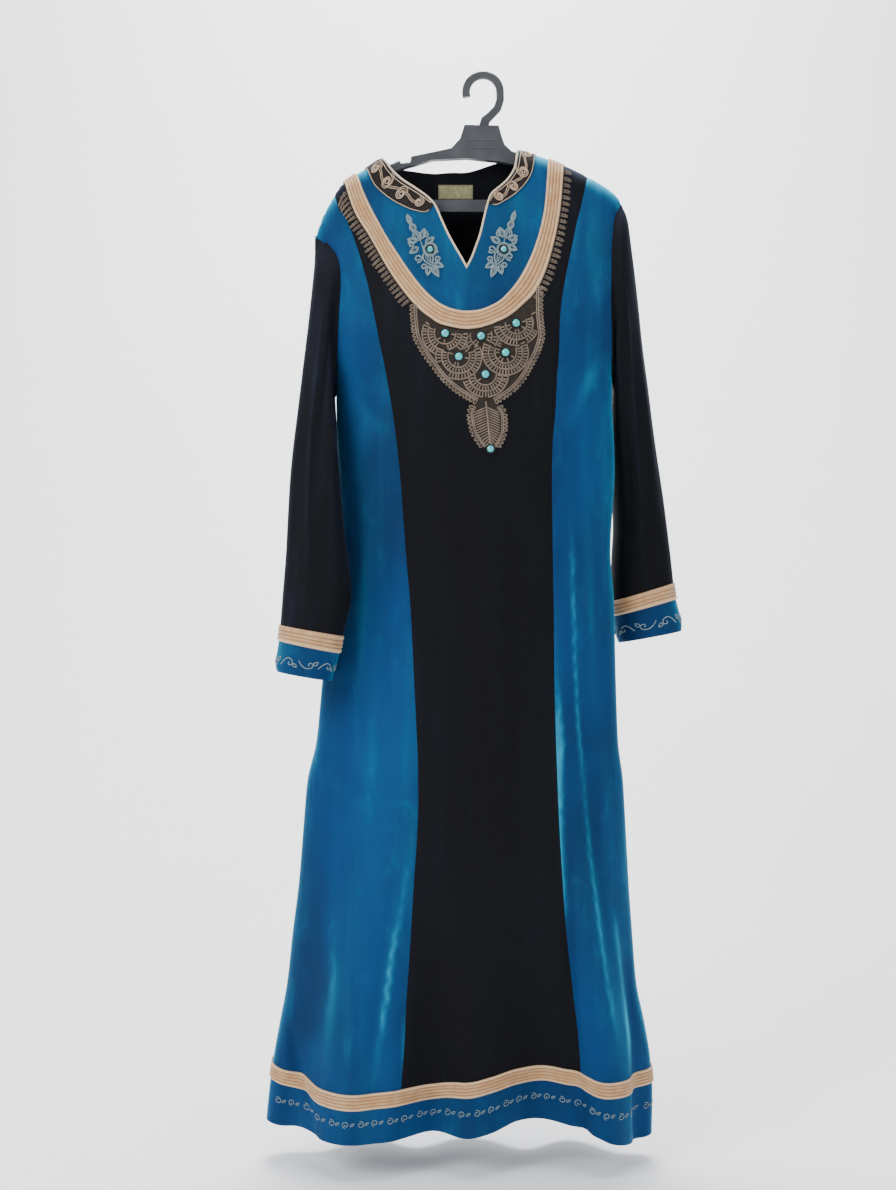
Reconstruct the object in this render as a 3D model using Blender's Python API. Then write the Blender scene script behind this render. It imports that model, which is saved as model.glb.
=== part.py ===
"""Long velvet kaftan on a moulded clothes hanger.

Metres, +Z up, +X to the right as seen from the front, +Y to the back. The origin is the inner top of the
hanger's hook, where a rail carries it. The cloth is cut and sewn from panels: each panel is a closed wall
on one shared body surface, and each trim is made from the points of the panel below it, moved out.
"""
import math

import bmesh
import bpy
import numpy as np
from mathutils import Vector
from mathutils.geometry import delaunay_2d_cdt

WALL = 0.002  # thickness of the velvet wall
HALF = WALL / 2
SEAM = 0.0003  # gap between two pieces at a seam
PILE = 0.0004  # gap between a panel and what is sewn on it
RIDGE_R = 0.020  # rounding of the shoulder over the hanger's arm
SHOULDER_DEPTH = 0.020  # half depth of the garment at the shoulder
SIDE_POWER = 0.8  # below 1, the body is flatter in the middle and rounder at its sides
ARMHOLE_WIDEN = 0.060  # how far the body surface runs on past the armhole seam
ARMHOLE_RISE = 0.12  # the height over which it does
FRONT, BACK = -1, 1
ROLL = 0.006  # the left shoulder seam lies this far in front of the ridge
RIDGE_STEPS = (0.0085, 0.0165, 0.0245, 0.0325)  # rows of points down the rounded ridge

# The shoulder ridge over the hanger, from the left tip across the neck to the right tip.
RIDGE = ("x", "z"), [
    (-0.240, -0.230), (-0.230, -0.200), (-0.216, -0.174), (-0.200, -0.150), (-0.170, -0.131),
    (-0.147, -0.116), (-0.097, -0.092), (-0.047, -0.083), (0.003, -0.087), (0.051, -0.104),
    (0.076, -0.111), (0.117, -0.126), (0.152, -0.143), (0.174, -0.156), (0.190, -0.168), (0.200, -0.184)]
# The hanging body: its outline and its princess seams, by the drop below the hook.
BODY = ("drop", "left", "left_seam", "right_seam", "right"), [
    (0.459, -0.209, -0.131, 0.102, 0.183), (0.559, -0.207, -0.118, 0.095, 0.187),
    (0.678, -0.207, -0.109, 0.096, 0.181), (0.745, -0.213, -0.103, 0.097, 0.186),
    (0.862, -0.229, -0.097, 0.098, 0.189), (0.945, -0.237, -0.093, 0.100, 0.192),
    (1.002, -0.250, -0.091, 0.102, 0.199), (1.071, -0.256, -0.093, 0.105, 0.203),
    (1.145, -0.262, -0.098, 0.110, 0.207), (1.217, -0.271, -0.102, 0.115, 0.212),
    (1.290, -0.279, -0.107, 0.122, 0.218), (1.344, -0.289, -0.110, 0.129, 0.229),
    (1.399, -0.299, -0.112, 0.134, 0.238), (1.446, -0.305, -0.113, 0.135, 0.241),
    (1.510, -0.311, -0.113, 0.136, 0.240)]
# Half depth of the body by the drop below its ridge.
DEPTH = ("drop", "half"), [
    (0.00, SHOULDER_DEPTH), (0.05, 0.026), (0.12, 0.037), (0.25, 0.054), (0.40, 0.066), (0.80, 0.074),
    (1.10, 0.080), (1.45, 0.088)]
# Folds: where they reach the hem, how wide, how far they stand out (+) or lie back (-), where they fade.
FRONT_FOLDS = ("hem_x", "width", "out", "fade_drop"), [
    (-0.270, 0.030, -0.034, 1.10), (-0.195, 0.046, 0.024, 0.90), (-0.135, 0.022, 0.008, 0.60),
    (-0.068, 0.034, -0.032, 1.15), (-0.028, 0.026, 0.010, 1.20), (0.075, 0.046, -0.046, 1.05),
    (0.155, 0.018, 0.012, 0.70), (0.185, 0.030, 0.024, 0.95), (0.224, 0.014, -0.022, 1.10)]
BACK_FOLDS = ("hem_x", "width", "out", "fade_drop"), [
    (-0.235, 0.034, -0.026, 1.00), (-0.165, 0.044, 0.024, 0.80), (-0.095, 0.036, -0.030, 1.05),
    (-0.020, 0.048, 0.018, 0.95), (0.062, 0.036, -0.032, 0.85), (0.130, 0.040, 0.022, 1.00),
    (0.196, 0.030, -0.026, 1.10)]
# The hem's lower edge in front, and the height of the blue band below the braid.
HEM = ("x", "z", "band"), [
    (-0.311, -1.483, 0.063), (-0.280, -1.489, 0.058), (-0.253, -1.487, 0.051), (-0.227, -1.493, 0.047),
    (-0.184, -1.494, 0.046), (-0.130, -1.490, 0.047), (-0.074, -1.486, 0.046), (-0.031, -1.487, 0.054),
    (0.009, -1.482, 0.056), (0.046, -1.473, 0.053), (0.093, -1.475, 0.056), (0.131, -1.480, 0.056),
    (0.155, -1.487, 0.055), (0.178, -1.498, 0.062), (0.204, -1.504, 0.069), (0.222, -1.506, 0.074),
    (0.241, -1.503, 0.073)]
BRAID_WIDE = 0.022
# Seams and edges of the upper front, from the shoulder down: left or outer side first.
LEFT_ARMHOLE = ("x", "z"), [
    (-0.2345, -0.2310), (-0.229, -0.236), (-0.218, -0.242), (-0.208, -0.256), (-0.203, -0.275),
    (-0.202, -0.300),
    (-0.204, -0.340), (-0.206, -0.385), (-0.207, -0.425)]
RIGHT_ARMHOLE = ("x", "z"), [
    (0.1955, -0.1835), (0.191, -0.192), (0.186, -0.204), (0.184, -0.222), (0.182, -0.250), (0.181, -0.285),
    (0.180, -0.325), (0.181, -0.365), (0.182, -0.402)]
UNDERARM_LEFT, UNDERARM_RIGHT = -0.452, -0.430
LEFT_PRINCESS = ("x", "z"), [
    (-0.203, -0.193), (-0.191, -0.213), (-0.182, -0.236), (-0.173, -0.265), (-0.163, -0.301),
    (-0.154, -0.344), (-0.145, -0.389), (-0.137, -0.428)]
RIGHT_PRINCESS = ("x", "z"), [
    (0.140, -0.181), (0.133, -0.208), (0.127, -0.236), (0.116, -0.288), (0.110, -0.324),
    (0.107, -0.355), (0.106, -0.395), (0.103, -0.430)]
NECK_LEFT = ("x", "z"), [
    (-0.130, -0.137), (-0.114, -0.152), (-0.098, -0.163), (-0.082, -0.175), (-0.070, -0.188),
    (-0.062, -0.206), (-0.052, -0.229), (-0.041, -0.250), (-0.032, -0.266)]
NECK_RIGHT = ("x", "z"), [
    (0.047, -0.129), (0.037, -0.149), (0.024, -0.162), (0.012, -0.173), (0.007, -0.187),
    (0.002, -0.207), (-0.003, -0.229), (-0.010, -0.250), (-0.016, -0.266)]
SLIT_END = (-0.024, -0.281)
BACK_NECK = ("x", "z"), [
    (-0.133, -0.119), (-0.115, -0.125), (-0.090, -0.128), (-0.060, -0.129), (-0.030, -0.128),
    (-0.002, -0.122), (0.023, -0.114), (0.040, -0.106)]
COLLAR_LEFT = ("x", "z"), [
    (-0.153, -0.159), (-0.136, -0.175), (-0.118, -0.187), (-0.098, -0.196), (-0.080, -0.1985)]
COLLAR_RIGHT = ("x", "z"), [
    (0.070, -0.136), (0.062, -0.153), (0.048, -0.169), (0.032, -0.181), (0.015, -0.1885)]
BRAID_INNER = ("x", "z"), [
    (-0.165, -0.176), (-0.144, -0.218), (-0.122, -0.255), (-0.101, -0.287), (-0.084, -0.309),
    (-0.066, -0.326), (-0.047, -0.337), (-0.026, -0.341), (-0.005, -0.339), (0.016, -0.330),
    (0.037, -0.311), (0.056, -0.283), (0.070, -0.252), (0.080, -0.220), (0.086, -0.190), (0.089, -0.160)]
BRAID_OUTER = ("x", "z"), [
    (-0.183, -0.194), (-0.163, -0.228), (-0.141, -0.268), (-0.119, -0.303), (-0.098, -0.330),
    (-0.077, -0.349), (-0.054, -0.362), (-0.027, -0.367), (-0.001, -0.364), (0.026, -0.353),
    (0.053, -0.333), (0.073, -0.312), (0.088, -0.280), (0.097, -0.250), (0.104, -0.220), (0.109, -0.190),
    (0.112, -0.160)]
# Where the pieces cross the shoulder seam.
CROSS = {"left tip": -0.2395, "left princess": -0.2125, "left braid outer": -0.1985,
         "left braid inner": -0.1815, "left collar": -0.1680, "left neck": -0.1470,
         "right neck": 0.0510, "right collar": 0.0750, "right braid inner": 0.0925,
         "right braid outer": 0.1150, "right princess": 0.1505, "right tip": 0.1985}
# Sleeves: outer and inner side, and the middle and half depth from front to back, in rings.
SLEEVE_COLUMNS = ("outer_x", "outer_z", "inner_x", "inner_z", "inner_y", "mid_y", "half")
LEFT_SLEEVE = SLEEVE_COLUMNS, [
    (-0.2405, -0.262, -0.2152, -0.470, -0.013, -0.002, 0.036),
    (-0.2435, -0.305, -0.2118, -0.492, -0.029, -0.008, 0.040),
    (-0.2475, -0.360, -0.207, -0.520, -0.043, -0.020, 0.042),
    (-0.2525, -0.415, -0.203, -0.550, -0.056, -0.036, 0.042),
    (-0.2585, -0.475, -0.2, -0.585, -0.063, -0.048, 0.041),
    (-0.265, -0.540, -0.1965, -0.625, -0.068, -0.058, 0.040),
    (-0.27, -0.605, -0.1925, -0.665, -0.072, -0.065, 0.039),
    (-0.2745, -0.675, -0.186, -0.706, -0.074, -0.070, 0.039),
    (-0.2785, -0.735, -0.185, -0.748, -0.076, -0.073, 0.039),
    (-0.281, -0.779, -0.196, -0.794, -0.078, -0.075, 0.039),
    (-0.2825, -0.790, -0.1985, -0.806, -0.078, -0.075, 0.039),
    (-0.2832, -0.801, -0.201, -0.818, -0.078, -0.075, 0.039),
    (-0.2875, -0.832, -0.208, -0.842, -0.078, -0.075, 0.039),
    (-0.2855, -0.843, -0.212, -0.856, -0.078, -0.075, 0.038)]
RIGHT_SLEEVE = SLEEVE_COLUMNS, [
    (0.206, -0.205, 0.189, -0.447, 0.014, 0.004, 0.036),
    (0.2115, -0.240, 0.188, -0.470, 0.026, 0.008, 0.040),
    (0.219, -0.285, 0.187, -0.500, 0.042, 0.018, 0.042),
    (0.2265, -0.335, 0.186, -0.532, 0.050, 0.030, 0.041),
    (0.234, -0.395, 0.1875, -0.567, 0.053, 0.040, 0.040),
    (0.244, -0.465, 0.1905, -0.605, 0.054, 0.046, 0.039),
    (0.256, -0.545, 0.1915, -0.642, 0.055, 0.050, 0.038),
    (0.266, -0.615, 0.1895, -0.680, 0.055, 0.052, 0.038),
    (0.273, -0.675, 0.189, -0.715, 0.055, 0.053, 0.038),
    (0.278, -0.720, 0.189, -0.747, 0.055, 0.054, 0.038),
    (0.28, -0.732, 0.1905, -0.759, 0.055, 0.054, 0.038),
    (0.282, -0.744, 0.1925, -0.769, 0.055, 0.054, 0.038),
    (0.29, -0.776, 0.196, -0.795, 0.055, 0.054, 0.038),
    (0.29, -0.790, 0.2, -0.807, 0.055, 0.054, 0.037)]
BRAID_TOP_RING, CUFF_RING, BRAID_LOW_RING = 10, 11, 12  # ring 0 is the armhole
ARM_POINTS = 10  # steps along an armhole, on each side
CORDS = 5  # cords in a braid
CUFF_CORDS = 4
CORD_LOW, CORD_HIGH = 0.0008, 0.0019  # valley and crest of a cord over the braid's underside
PIPING_R, PIPING_SIDES = 0.0015, 6
TRIM_THICK = 0.0012  # collar bands, ticks and the pendant
MOTIF_THICK = 0.0010
BEAD_LIFT = {"pendant": 0.0017, "yoke": 0.0014}  # a bead's foot over the underside of what it is sewn on
BEAD_SIDES = 8
BEAD_PROFILE = (1.0, 0.0), (1.0, 0.0012), (0.55, 0.0032)  # share of the radius, and height
# Ticks: where the row starts and ends along the braid, and one tick's size and slant.
TICKS = {"first": 0.034, "left_end": 0.200, "right_end": 0.190, "pitch": 0.0098, "near": 0.0012,
         "strip": 0.0024, "reach": 0.0125, "half": 0.0023, "slant": 0.0035}
# The yoke's motifs: half width at each height of the stem, and where and how far each one leans.
MOTIF_SHAPE = ("up", "half"), [
    (-0.046, 0.004), (-0.036, 0.011), (-0.028, 0.005), (-0.018, 0.018), (-0.008, 0.008), (0.002, 0.021),
    (0.011, 0.009), (0.020, 0.016), (0.029, 0.006), (0.037, 0.009), (0.046, 0.002)]
MOTIF_LEFT, MOTIF_RIGHT, MOTIF_LEAN = (-0.085, -0.243), (0.030, -0.240), -0.35
PENDANT_TIP = 0.193  # drop of the leaf's point
PENDANT_CLEAR = 0.0030  # between the pendant and the yoke braid
# Points of the cloth: angle between them over the chest and the skirt, rows' heights, stations along the hem.
FRONT_MESH = {"upper": 13, "lower": 6.4, "row": 0.040, "low_row": 0.056, "stations": 34}
BACK_MESH = {"upper": 16, "lower": 10, "row": 0.040, "low_row": 0.056, "stations": 22}
SIDE_STEP, SEAM_STEP = 0.060, 0.055  # points along the side and princess seams
SLEEVE_CLEAR, SLEEVE_TURN = 0.0014, 0.0026  # how far a sleeve's head stands off the armhole
# Beads: centre, radius. The last two are on the yoke.
BEADS = ("x", "z", "radius"), [
    (-0.054, -0.373, 0.0066), (-0.004, -0.377, 0.0066), (0.045, -0.358, 0.0066), (-0.035, -0.406, 0.0066),
    (0.030, -0.400, 0.0066), (0.002, -0.431, 0.0066), (0.009, -0.535, 0.0060),
    (0.028, -0.253, 0.0058), (-0.075, -0.253, 0.0058)]
FIRST_YOKE_BEAD = 7
# Half outline of the pendant's bib and of its leaf, by the drop from the pendant's top.
BIB_TOP = (-0.010, -0.345)
BIB_LEAN = 0.10  # the pendant hangs a little to the right
BIB = ("drop", "half"), [
    (0.000, 0.088), (0.026, 0.088), (0.050, 0.080), (0.072, 0.067), (0.090, 0.055), (0.106, 0.0395),
    (0.118, 0.022), (0.124, 0.0125)]
LEAF = ("drop", "half"), [
    (0.130, 0.0175), (0.142, 0.0230), (0.163, 0.0215), (0.178, 0.0150), (0.188, 0.0085)]
PICOTS = 3  # waves of the scalloped edge between two rows of the table
# Rings round a pendant bead: reach, points and height.
FAN_RINGS = (0.0072, 6, 0.0), (0.0112, 8, 0.0012), (0.0155, 10, 0.0002)

# The hanger.
HOOK_R, HOOK_WIDE, HOOK_THICK = 0.0244, 0.0110, 0.0080
HOOK_LEG = ("x", "z"), [
    (0.0244, -0.0189), (0.0246, -0.0300), (0.0205, -0.0425), (0.0115, -0.0520), (0.0035, -0.0590),
    (0.0005, -0.0720)]
PLATE_THICK = 0.012
ARM_THICK, ARM_CHAMFER = 0.010, 0.0022
HOOK_CHAMFER, HOOK_START, HOOK_STEPS = 0.0016, 197, 15  # edge, free end's angle in degrees, steps round it
PLATE = ("x", "z"), [
    (-0.0266, -0.0670), (0.0225, -0.0680), (0.0266, -0.0840), (0.0310, -0.0955), (0.0400, -0.1040),
    (0.0515, -0.1095), (0.0515, -0.1255), (0.0243, -0.1195), (-0.0243, -0.1145), (-0.0733, -0.1170),
    (-0.1030, -0.1260), (-0.1030, -0.1125), (-0.0457, -0.1005), (-0.0329, -0.0870)]
LEFT_ARM = ("x", "top", "low"), [
    (-0.1020, -0.1122, -0.1258), (-0.1040, -0.1190, -0.1268), (-0.1175, -0.1200, -0.1310),
    (-0.1195, -0.1172, -0.1320), (-0.1470, -0.1290, -0.1440), (-0.1700, -0.1390, -0.1560),
    (-0.1880, -0.1455, -0.1700), (-0.1935, -0.1520, -0.1905)]
RIGHT_ARM = ("x", "top", "low"), [
    (0.0505, -0.1092, -0.1252), (0.0760, -0.1170, -0.1335), (0.1170, -0.1300, -0.1490),
    (0.1500, -0.1457, -0.1630), (0.1680, -0.1562, -0.1730), (0.1755, -0.1640, -0.1905)]
BAR = {"left": -0.1920, "right": 0.1745, "top": -0.1735, "low": -0.1905, "thick": 0.007}
LABEL = {"x": -0.039, "z": -0.155, "wide": 0.050, "high": 0.020, "thick": 0.0008}

COLOURS = {
    "blue_velvet": ((0.000, 0.105, 0.235), 0.75), "black_velvet": ((0.006, 0.008, 0.014), 0.80),
    "peach_cord": ((0.60, 0.38, 0.21), 0.60), "cream_piping": ((0.72, 0.62, 0.47), 0.60),
    "brown_braid": ((0.20, 0.15, 0.11), 0.75), "silver_thread": ((0.21, 0.31, 0.34), 0.60),
    "collar_cloth": ((0.020, 0.014, 0.011), 0.80), "turquoise": ((0.03, 0.45, 0.46), 0.15),
    "label_cloth": ((0.40, 0.38, 0.20), 0.70), "black_plastic": ((0.035, 0.037, 0.040), 0.45)}


class Curve:
    """A smooth curve through the rows of a table that doesn't swing past them."""

    def __init__(self, table, of, by):
        names, rows = table
        self.x = np.array([row[names.index(by)] for row in rows], float)
        self.y = np.array([row[names.index(of)] for row in rows], float)
        step = np.diff(self.y) / np.diff(self.x)
        both = step[1:] + step[:-1]
        inner = np.where(step[1:] * step[:-1] > 0, 2 * step[1:] * step[:-1] / np.where(both == 0, 1, both), 0)
        self.slope = np.concatenate([[step[0]], inner, [step[-1]]])

    def __call__(self, at):
        at = min(max(at, self.x[0]), self.x[-1])
        i = min(int(np.searchsorted(self.x, at, "right")) - 1, len(self.x) - 2)
        h = self.x[i + 1] - self.x[i]
        t = (at - self.x[i]) / h
        return float(self.y[i] * (1 + 2 * t) * (1 - t) ** 2 + self.y[i + 1] * t * t * (3 - 2 * t)
                     + h * t * (1 - t) * (self.slope[i] * (1 - t) - self.slope[i + 1] * t))

    def tangent(self, at, step=0.002):
        low, high = max(at - step, self.x[0]), min(at + step, self.x[-1])
        return (self(high) - self(low)) / (high - low)


ridge = Curve(RIDGE, "z", "x")
depth = Curve(DEPTH, "half", "drop")
body_left, body_right = Curve(BODY, "left", "drop"), Curve(BODY, "right", "drop")
seam_left, seam_right = Curve(BODY, "left_seam", "drop"), Curve(BODY, "right_seam", "drop")
hem_z, hem_band = Curve(HEM, "z", "x"), Curve(HEM, "band", "x")


def ease(t):
    t = min(max(t, 0.0), 1.0)
    return t * t * (3 - 2 * t)


def edge_left(z):
    return body_left(-z) - ARMHOLE_WIDEN * ease((z - UNDERARM_LEFT) / ARMHOLE_RISE)


def edge_right(z):
    return body_right(-z) + ARMHOLE_WIDEN * ease((z - UNDERARM_RIGHT) / ARMHOLE_RISE)


def across(x, z):
    """The angle round the body, from -90 degrees at its left edge to 90 at its right."""
    left, right = edge_left(z), edge_right(z)
    return math.asin(min(max((2 * x - left - right) / (right - left), -1.0), 1.0))


def x_at(angle, z):
    left, right = edge_left(z), edge_right(z)
    return (left + right) / 2 + (right - left) / 2 * math.sin(angle)


def rounding(x):
    return RIDGE_R * math.hypot(1, ridge.tangent(x))


def arc_of(x, z):
    """How far down the cloth a height lies, measured over the rounded ridge."""
    t = max(ridge(x) - z, 0.0)
    r = rounding(x)
    return RIDGE_R * math.acos(1 - t / r) if t < r else RIDGE_R * math.pi / 2 + t - r


def z_of(x, arc):
    r, quarter = rounding(x), RIDGE_R * math.pi / 2
    return ridge(x) - (r * (1 - math.cos(arc / RIDGE_R)) if arc < quarter else r + arc - quarter)


def folds(table, x, z):
    total = 0.0
    low_left, low_right = edge_left(-1.49), edge_right(-1.49)
    left, right = edge_left(z), edge_right(z)
    for hem_x, width, out, fade in table[1]:
        start = min(max((-z - fade) / (1.49 - fade), 0.0), 1.0)
        if start > 0:
            share = (hem_x - low_left) / (low_right - low_left)
            at = left + share * (right - left)
            total += out * start ** 1.4 * math.exp(-(((x - at) / width) ** 2))
    return total


def point(x, arc, side):
    """A point of the body surface. An arc below 0 lies past the ridge, on the other side."""
    if arc < 0:
        side, arc = -side, -arc
    z = z_of(x, arc)
    over = math.sin(min(arc / RIDGE_R, math.pi / 2))
    cos = math.cos(across(x, z))
    out = depth(max(ridge(x) - z, 0.0)) * cos ** SIDE_POWER * over
    out += folds(FRONT_FOLDS if side == FRONT else BACK_FOLDS, x, z) * cos ** 0.5
    return Vector((x, side * out, z))


def ring_point(angle, z, side):
    """A point of the body surface by its angle and height, which may pass over the side edge."""
    if abs(angle) > math.pi / 2:
        side, angle = -side, math.copysign(math.pi, angle) - angle
    x = x_at(angle, z)
    return point(x, arc_of(x, z), side)


def normal(x, arc, side):
    step = 0.0015
    z = z_of(x, abs(arc))
    if ridge(x) - z > 2.5 * RIDGE_R:
        angle, turn = across(x, z), step / 0.2
        along = ring_point(angle + turn, z, side) - ring_point(angle - turn, z, side)
        up = ring_point(angle, z + step, side) - ring_point(angle, z - step, side)
    else:
        along = point(x + step, arc, side) - point(x - step, arc, side)
        up = point(x, arc - step, side) - point(x, arc + step, side)
    return (along.cross(up) * -side).normalized()


class Sheet:
    """The front or the back of the body, cut up by its seams and by the edges of its trims."""

    def __init__(self, side):
        self.side, self.flat, self.spots, self.edges, self.known = side, [], [], [], {}

    def plane(self, x, arc):
        """Where a point lies in the sheet laid out flat, squeezed along its length below the chest."""
        w = ridge(x) - arc
        return (0.2 * across(x, z_of(x, abs(arc))), w if w > -0.45 else -0.45 + (w + 0.45) * 0.45)

    def add(self, x, arc):
        key = (round(x, 6), round(arc, 6))
        if key not in self.known:
            self.known[key] = len(self.flat)
            self.flat.append(self.plane(x, arc))
            self.spots.append((x, arc))
        return self.known[key]

    def line(self, spots):
        ids = [self.add(*spot) for spot in spots]
        self.edges += [(a, b) for a, b in zip(ids, ids[1:]) if a != b]
        return ids

    def fill(self, rows):
        """Adds loose points between the lines, row by row, and clear of them."""
        flat = np.array(self.flat)
        a, b = flat[[e[0] for e in self.edges]], flat[[e[1] for e in self.edges]]
        for spots, clear in rows:
            for x, arc in spots:
                here = np.array(self.plane(x, arc))
                t = np.clip(((here - a) * (b - a)).sum(1) / np.maximum(((b - a) ** 2).sum(1), 1e-12), 0, 1)
                if np.hypot(*(here - a - t[:, None] * (b - a)).T).min() > clear:
                    self.add(x, arc)

    def mesh(self):
        points = [Vector(p) for p in self.flat]
        verts, _, faces, origins, _, _ = delaunay_2d_cdt(points, self.edges, [], 0, 1e-7)
        if len(verts) != len(points):
            odd = [tuple(v) for v, o in zip(verts, origins) if not o]
            raise ValueError(f"lines of the sheet cross: {len(verts)} points from {len(points)}, {odd[:6]}")
        self.ids = [o[0] for o in origins]
        self.triangles = [tuple(self.ids[i] for i in f) for f in faces]
        self.at = [point(x, arc, self.side) for x, arc in self.spots]
        self.out = [normal(x, arc, self.side) for x, arc in self.spots]
        self.corners = np.array(self.flat)[np.array(self.triangles)]

    def inside(self, loop):
        ring = np.array([self.flat[i] for i in loop])
        middle = self.corners.mean(axis=1)
        x0, y0, x1, y1 = ring[:, 0], ring[:, 1], np.roll(ring[:, 0], -1), np.roll(ring[:, 1], -1)
        keep = []
        for k, (px, py) in enumerate(middle):
            crossing = (y0 > py) != (y1 > py)
            where = x0 + (py - y0) * (x1 - x0) / np.where(y1 == y0, 1, y1 - y0)
            if np.count_nonzero(crossing & (px < where)) % 2:
                keep.append(self.triangles[k])
        return keep

    def facet(self, x, z, lift):
        """The point over a place of the faceted sheet, moved out by lift."""
        here = np.array(self.plane(x, arc_of(x, z)))
        p, q, r = self.corners[:, 0], self.corners[:, 1], self.corners[:, 2]
        area = (q[:, 0] - p[:, 0]) * (r[:, 1] - p[:, 1]) - (r[:, 0] - p[:, 0]) * (q[:, 1] - p[:, 1])
        u = ((here[0] - p[:, 0]) * (r[:, 1] - p[:, 1]) - (r[:, 0] - p[:, 0]) * (here[1] - p[:, 1])) / area
        v = ((q[:, 0] - p[:, 0]) * (here[1] - p[:, 1]) - (here[0] - p[:, 0]) * (q[:, 1] - p[:, 1])) / area
        k = int(np.argmax(np.minimum(np.minimum(u, v), 1 - u - v)))
        share = (float(1 - u[k] - v[k]), float(u[k]), float(v[k]))
        place, out = Vector(), Vector()
        for s, i in zip(share, self.triangles[k]):
            place += s * self.at[i]
            out += s * self.out[i]
        return place + out.normalized() * lift


def collect(name, verts, faces, colour):
    """Makes the object of one piece, its faces turned outwards."""
    mesh = bpy.data.meshes.new(name)
    mesh.from_pydata([tuple(v) for v in verts], [], faces)
    bm = bmesh.new()
    bm.from_mesh(mesh)
    bmesh.ops.recalc_face_normals(bm, faces=bm.faces)
    if bm.calc_volume(signed=True) < 0:
        bmesh.ops.reverse_faces(bm, faces=bm.faces)
    bmesh.ops.triangulate(bm, faces=[f for f in bm.faces if len(f.verts) > 3])
    bm.to_mesh(mesh)
    bm.free()
    mesh.shade_smooth()
    mesh.set_sharp_from_angle(angle=math.radians(40))
    obj = bpy.data.objects.new(name, mesh)
    obj.data.materials.append(material(colour))
    bpy.context.collection.objects.link(obj)
    return obj


def material(name):
    if name in bpy.data.materials:
        return bpy.data.materials[name]
    colour, rough = COLOURS[name]
    made = bpy.data.materials.new(name)
    made.use_nodes = True
    shader = made.node_tree.nodes["Principled BSDF"]
    shader.inputs["Base Color"].default_value = (*colour, 1)
    shader.inputs["Roughness"].default_value = rough
    shader.inputs["Metallic"].default_value = 0.0
    return made


def rim(triangles):
    """The open edges of a patch, each as it runs in its triangle, and that triangle's far corner."""
    seen = {}
    for t in triangles:
        for i in range(3):
            a, b, c = t[i], t[(i + 1) % 3], t[(i + 2) % 3]
            seen.setdefault(frozenset((a, b)), []).append((a, b, c))
    return [uses[0] for uses in seen.values() if len(uses) == 1]


def pulled(triangles, at, out, gap):
    """The patch's points with its edge drawn back by half a seam gap."""
    moved, pull = dict((i, at[i].copy()) for t in triangles for i in t), {}
    for a, b, c in rim(triangles):
        edge = (at[b] - at[a]).normalized()
        n = (out[a] + out[b]).normalized()
        inward = edge.cross(n).normalized()
        if inward.dot(at[c] - at[a]) < 0:
            inward = -inward
        for i in (a, b):
            pull.setdefault(i, []).append(inward)
    for i, ways in pull.items():
        mean = sum(ways, Vector()).normalized()
        moved[i] += mean * (gap / 2 / max(mean.dot(ways[0]), 0.4))
    return moved


def wall(name, triangles, at, out, low, high, colour, gap=SEAM):
    """A closed wall on a patch of triangles, from low to high along the surface's own direction."""
    moved = pulled(triangles, at, out, gap)
    order = {i: k for k, i in enumerate(moved)}
    n = len(order)
    verts = [moved[i] + out[i] * low for i in order] + [moved[i] + out[i] * high for i in order]
    faces = [(order[c], order[b], order[a]) for a, b, c in triangles]
    faces += [(order[a] + n, order[b] + n, order[c] + n) for a, b, c in triangles]
    faces += [(order[a], order[b], order[b] + n, order[a] + n) for a, b, _ in rim(triangles)]
    return collect(name, verts, faces, colour)


def resample(spots, fine, fine_length, step):
    """Points along a smooth run through the spots: close together near both ends, then a step apart."""
    spots = np.array(spots, float)
    size = np.concatenate([[0], np.cumsum(np.hypot(*np.diff(spots, axis=0).T))])
    length = size[-1]
    ends = list(np.arange(0, fine_length, fine)) if fine_length else [0.0]
    count = max(1, round((length - 2 * fine_length) / step))
    middle = list(np.linspace(fine_length, length - fine_length, count + 1))
    at = sorted(set(np.round(ends[:-1] if fine_length and ends[-1] > fine_length - 0.4 * fine else ends, 6))
                | set(np.round(middle, 6)) | set(np.round(length - np.array(ends), 6)))
    at = [a for k, a in enumerate(at) if k == 0 or a - at[k - 1] > 0.4 * min(fine, step)]
    at[-1] = length
    curves = [Curve((("s", "v"), list(zip(size, spots[:, k]))), "v", "s") for k in (0, 1)]
    return [(curves[0](a), curves[1](a)) for a in at]


def spots_of(table):
    return [(x, arc_of(x, z)) for x, z in table[1]]


def on_shoulder(name, side=FRONT):
    """The spot of a name in CROSS on the shoulder seam, which lies in front of the ridge on the left."""
    x = CROSS[name]
    return (x, -side * ROLL if x < 0 else 0.0)


def strip_stations(inner, outer, count_like):
    """Both edges of a strip cut at the same number of stations, with the middle line between them."""
    along = np.array(count_like)
    size = np.concatenate([[0], np.cumsum(np.hypot(*np.diff(along, axis=0).T))])
    shares = size / size[-1]
    result = []
    for spots in (inner, outer):
        spots = np.array(spots)
        size = np.concatenate([[0], np.cumsum(np.hypot(*np.diff(spots, axis=0).T))])
        curves = [Curve((("s", "v"), list(zip(size, spots[:, k]))), "v", "s") for k in (0, 1)]
        result.append([(curves[0](s * size[-1]), curves[1](s * size[-1])) for s in shares])
    middle = [((a[0] + b[0]) / 2, (a[1] + b[1]) / 2) for a, b in zip(*result)]
    return result[0], middle, result[1]


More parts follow.
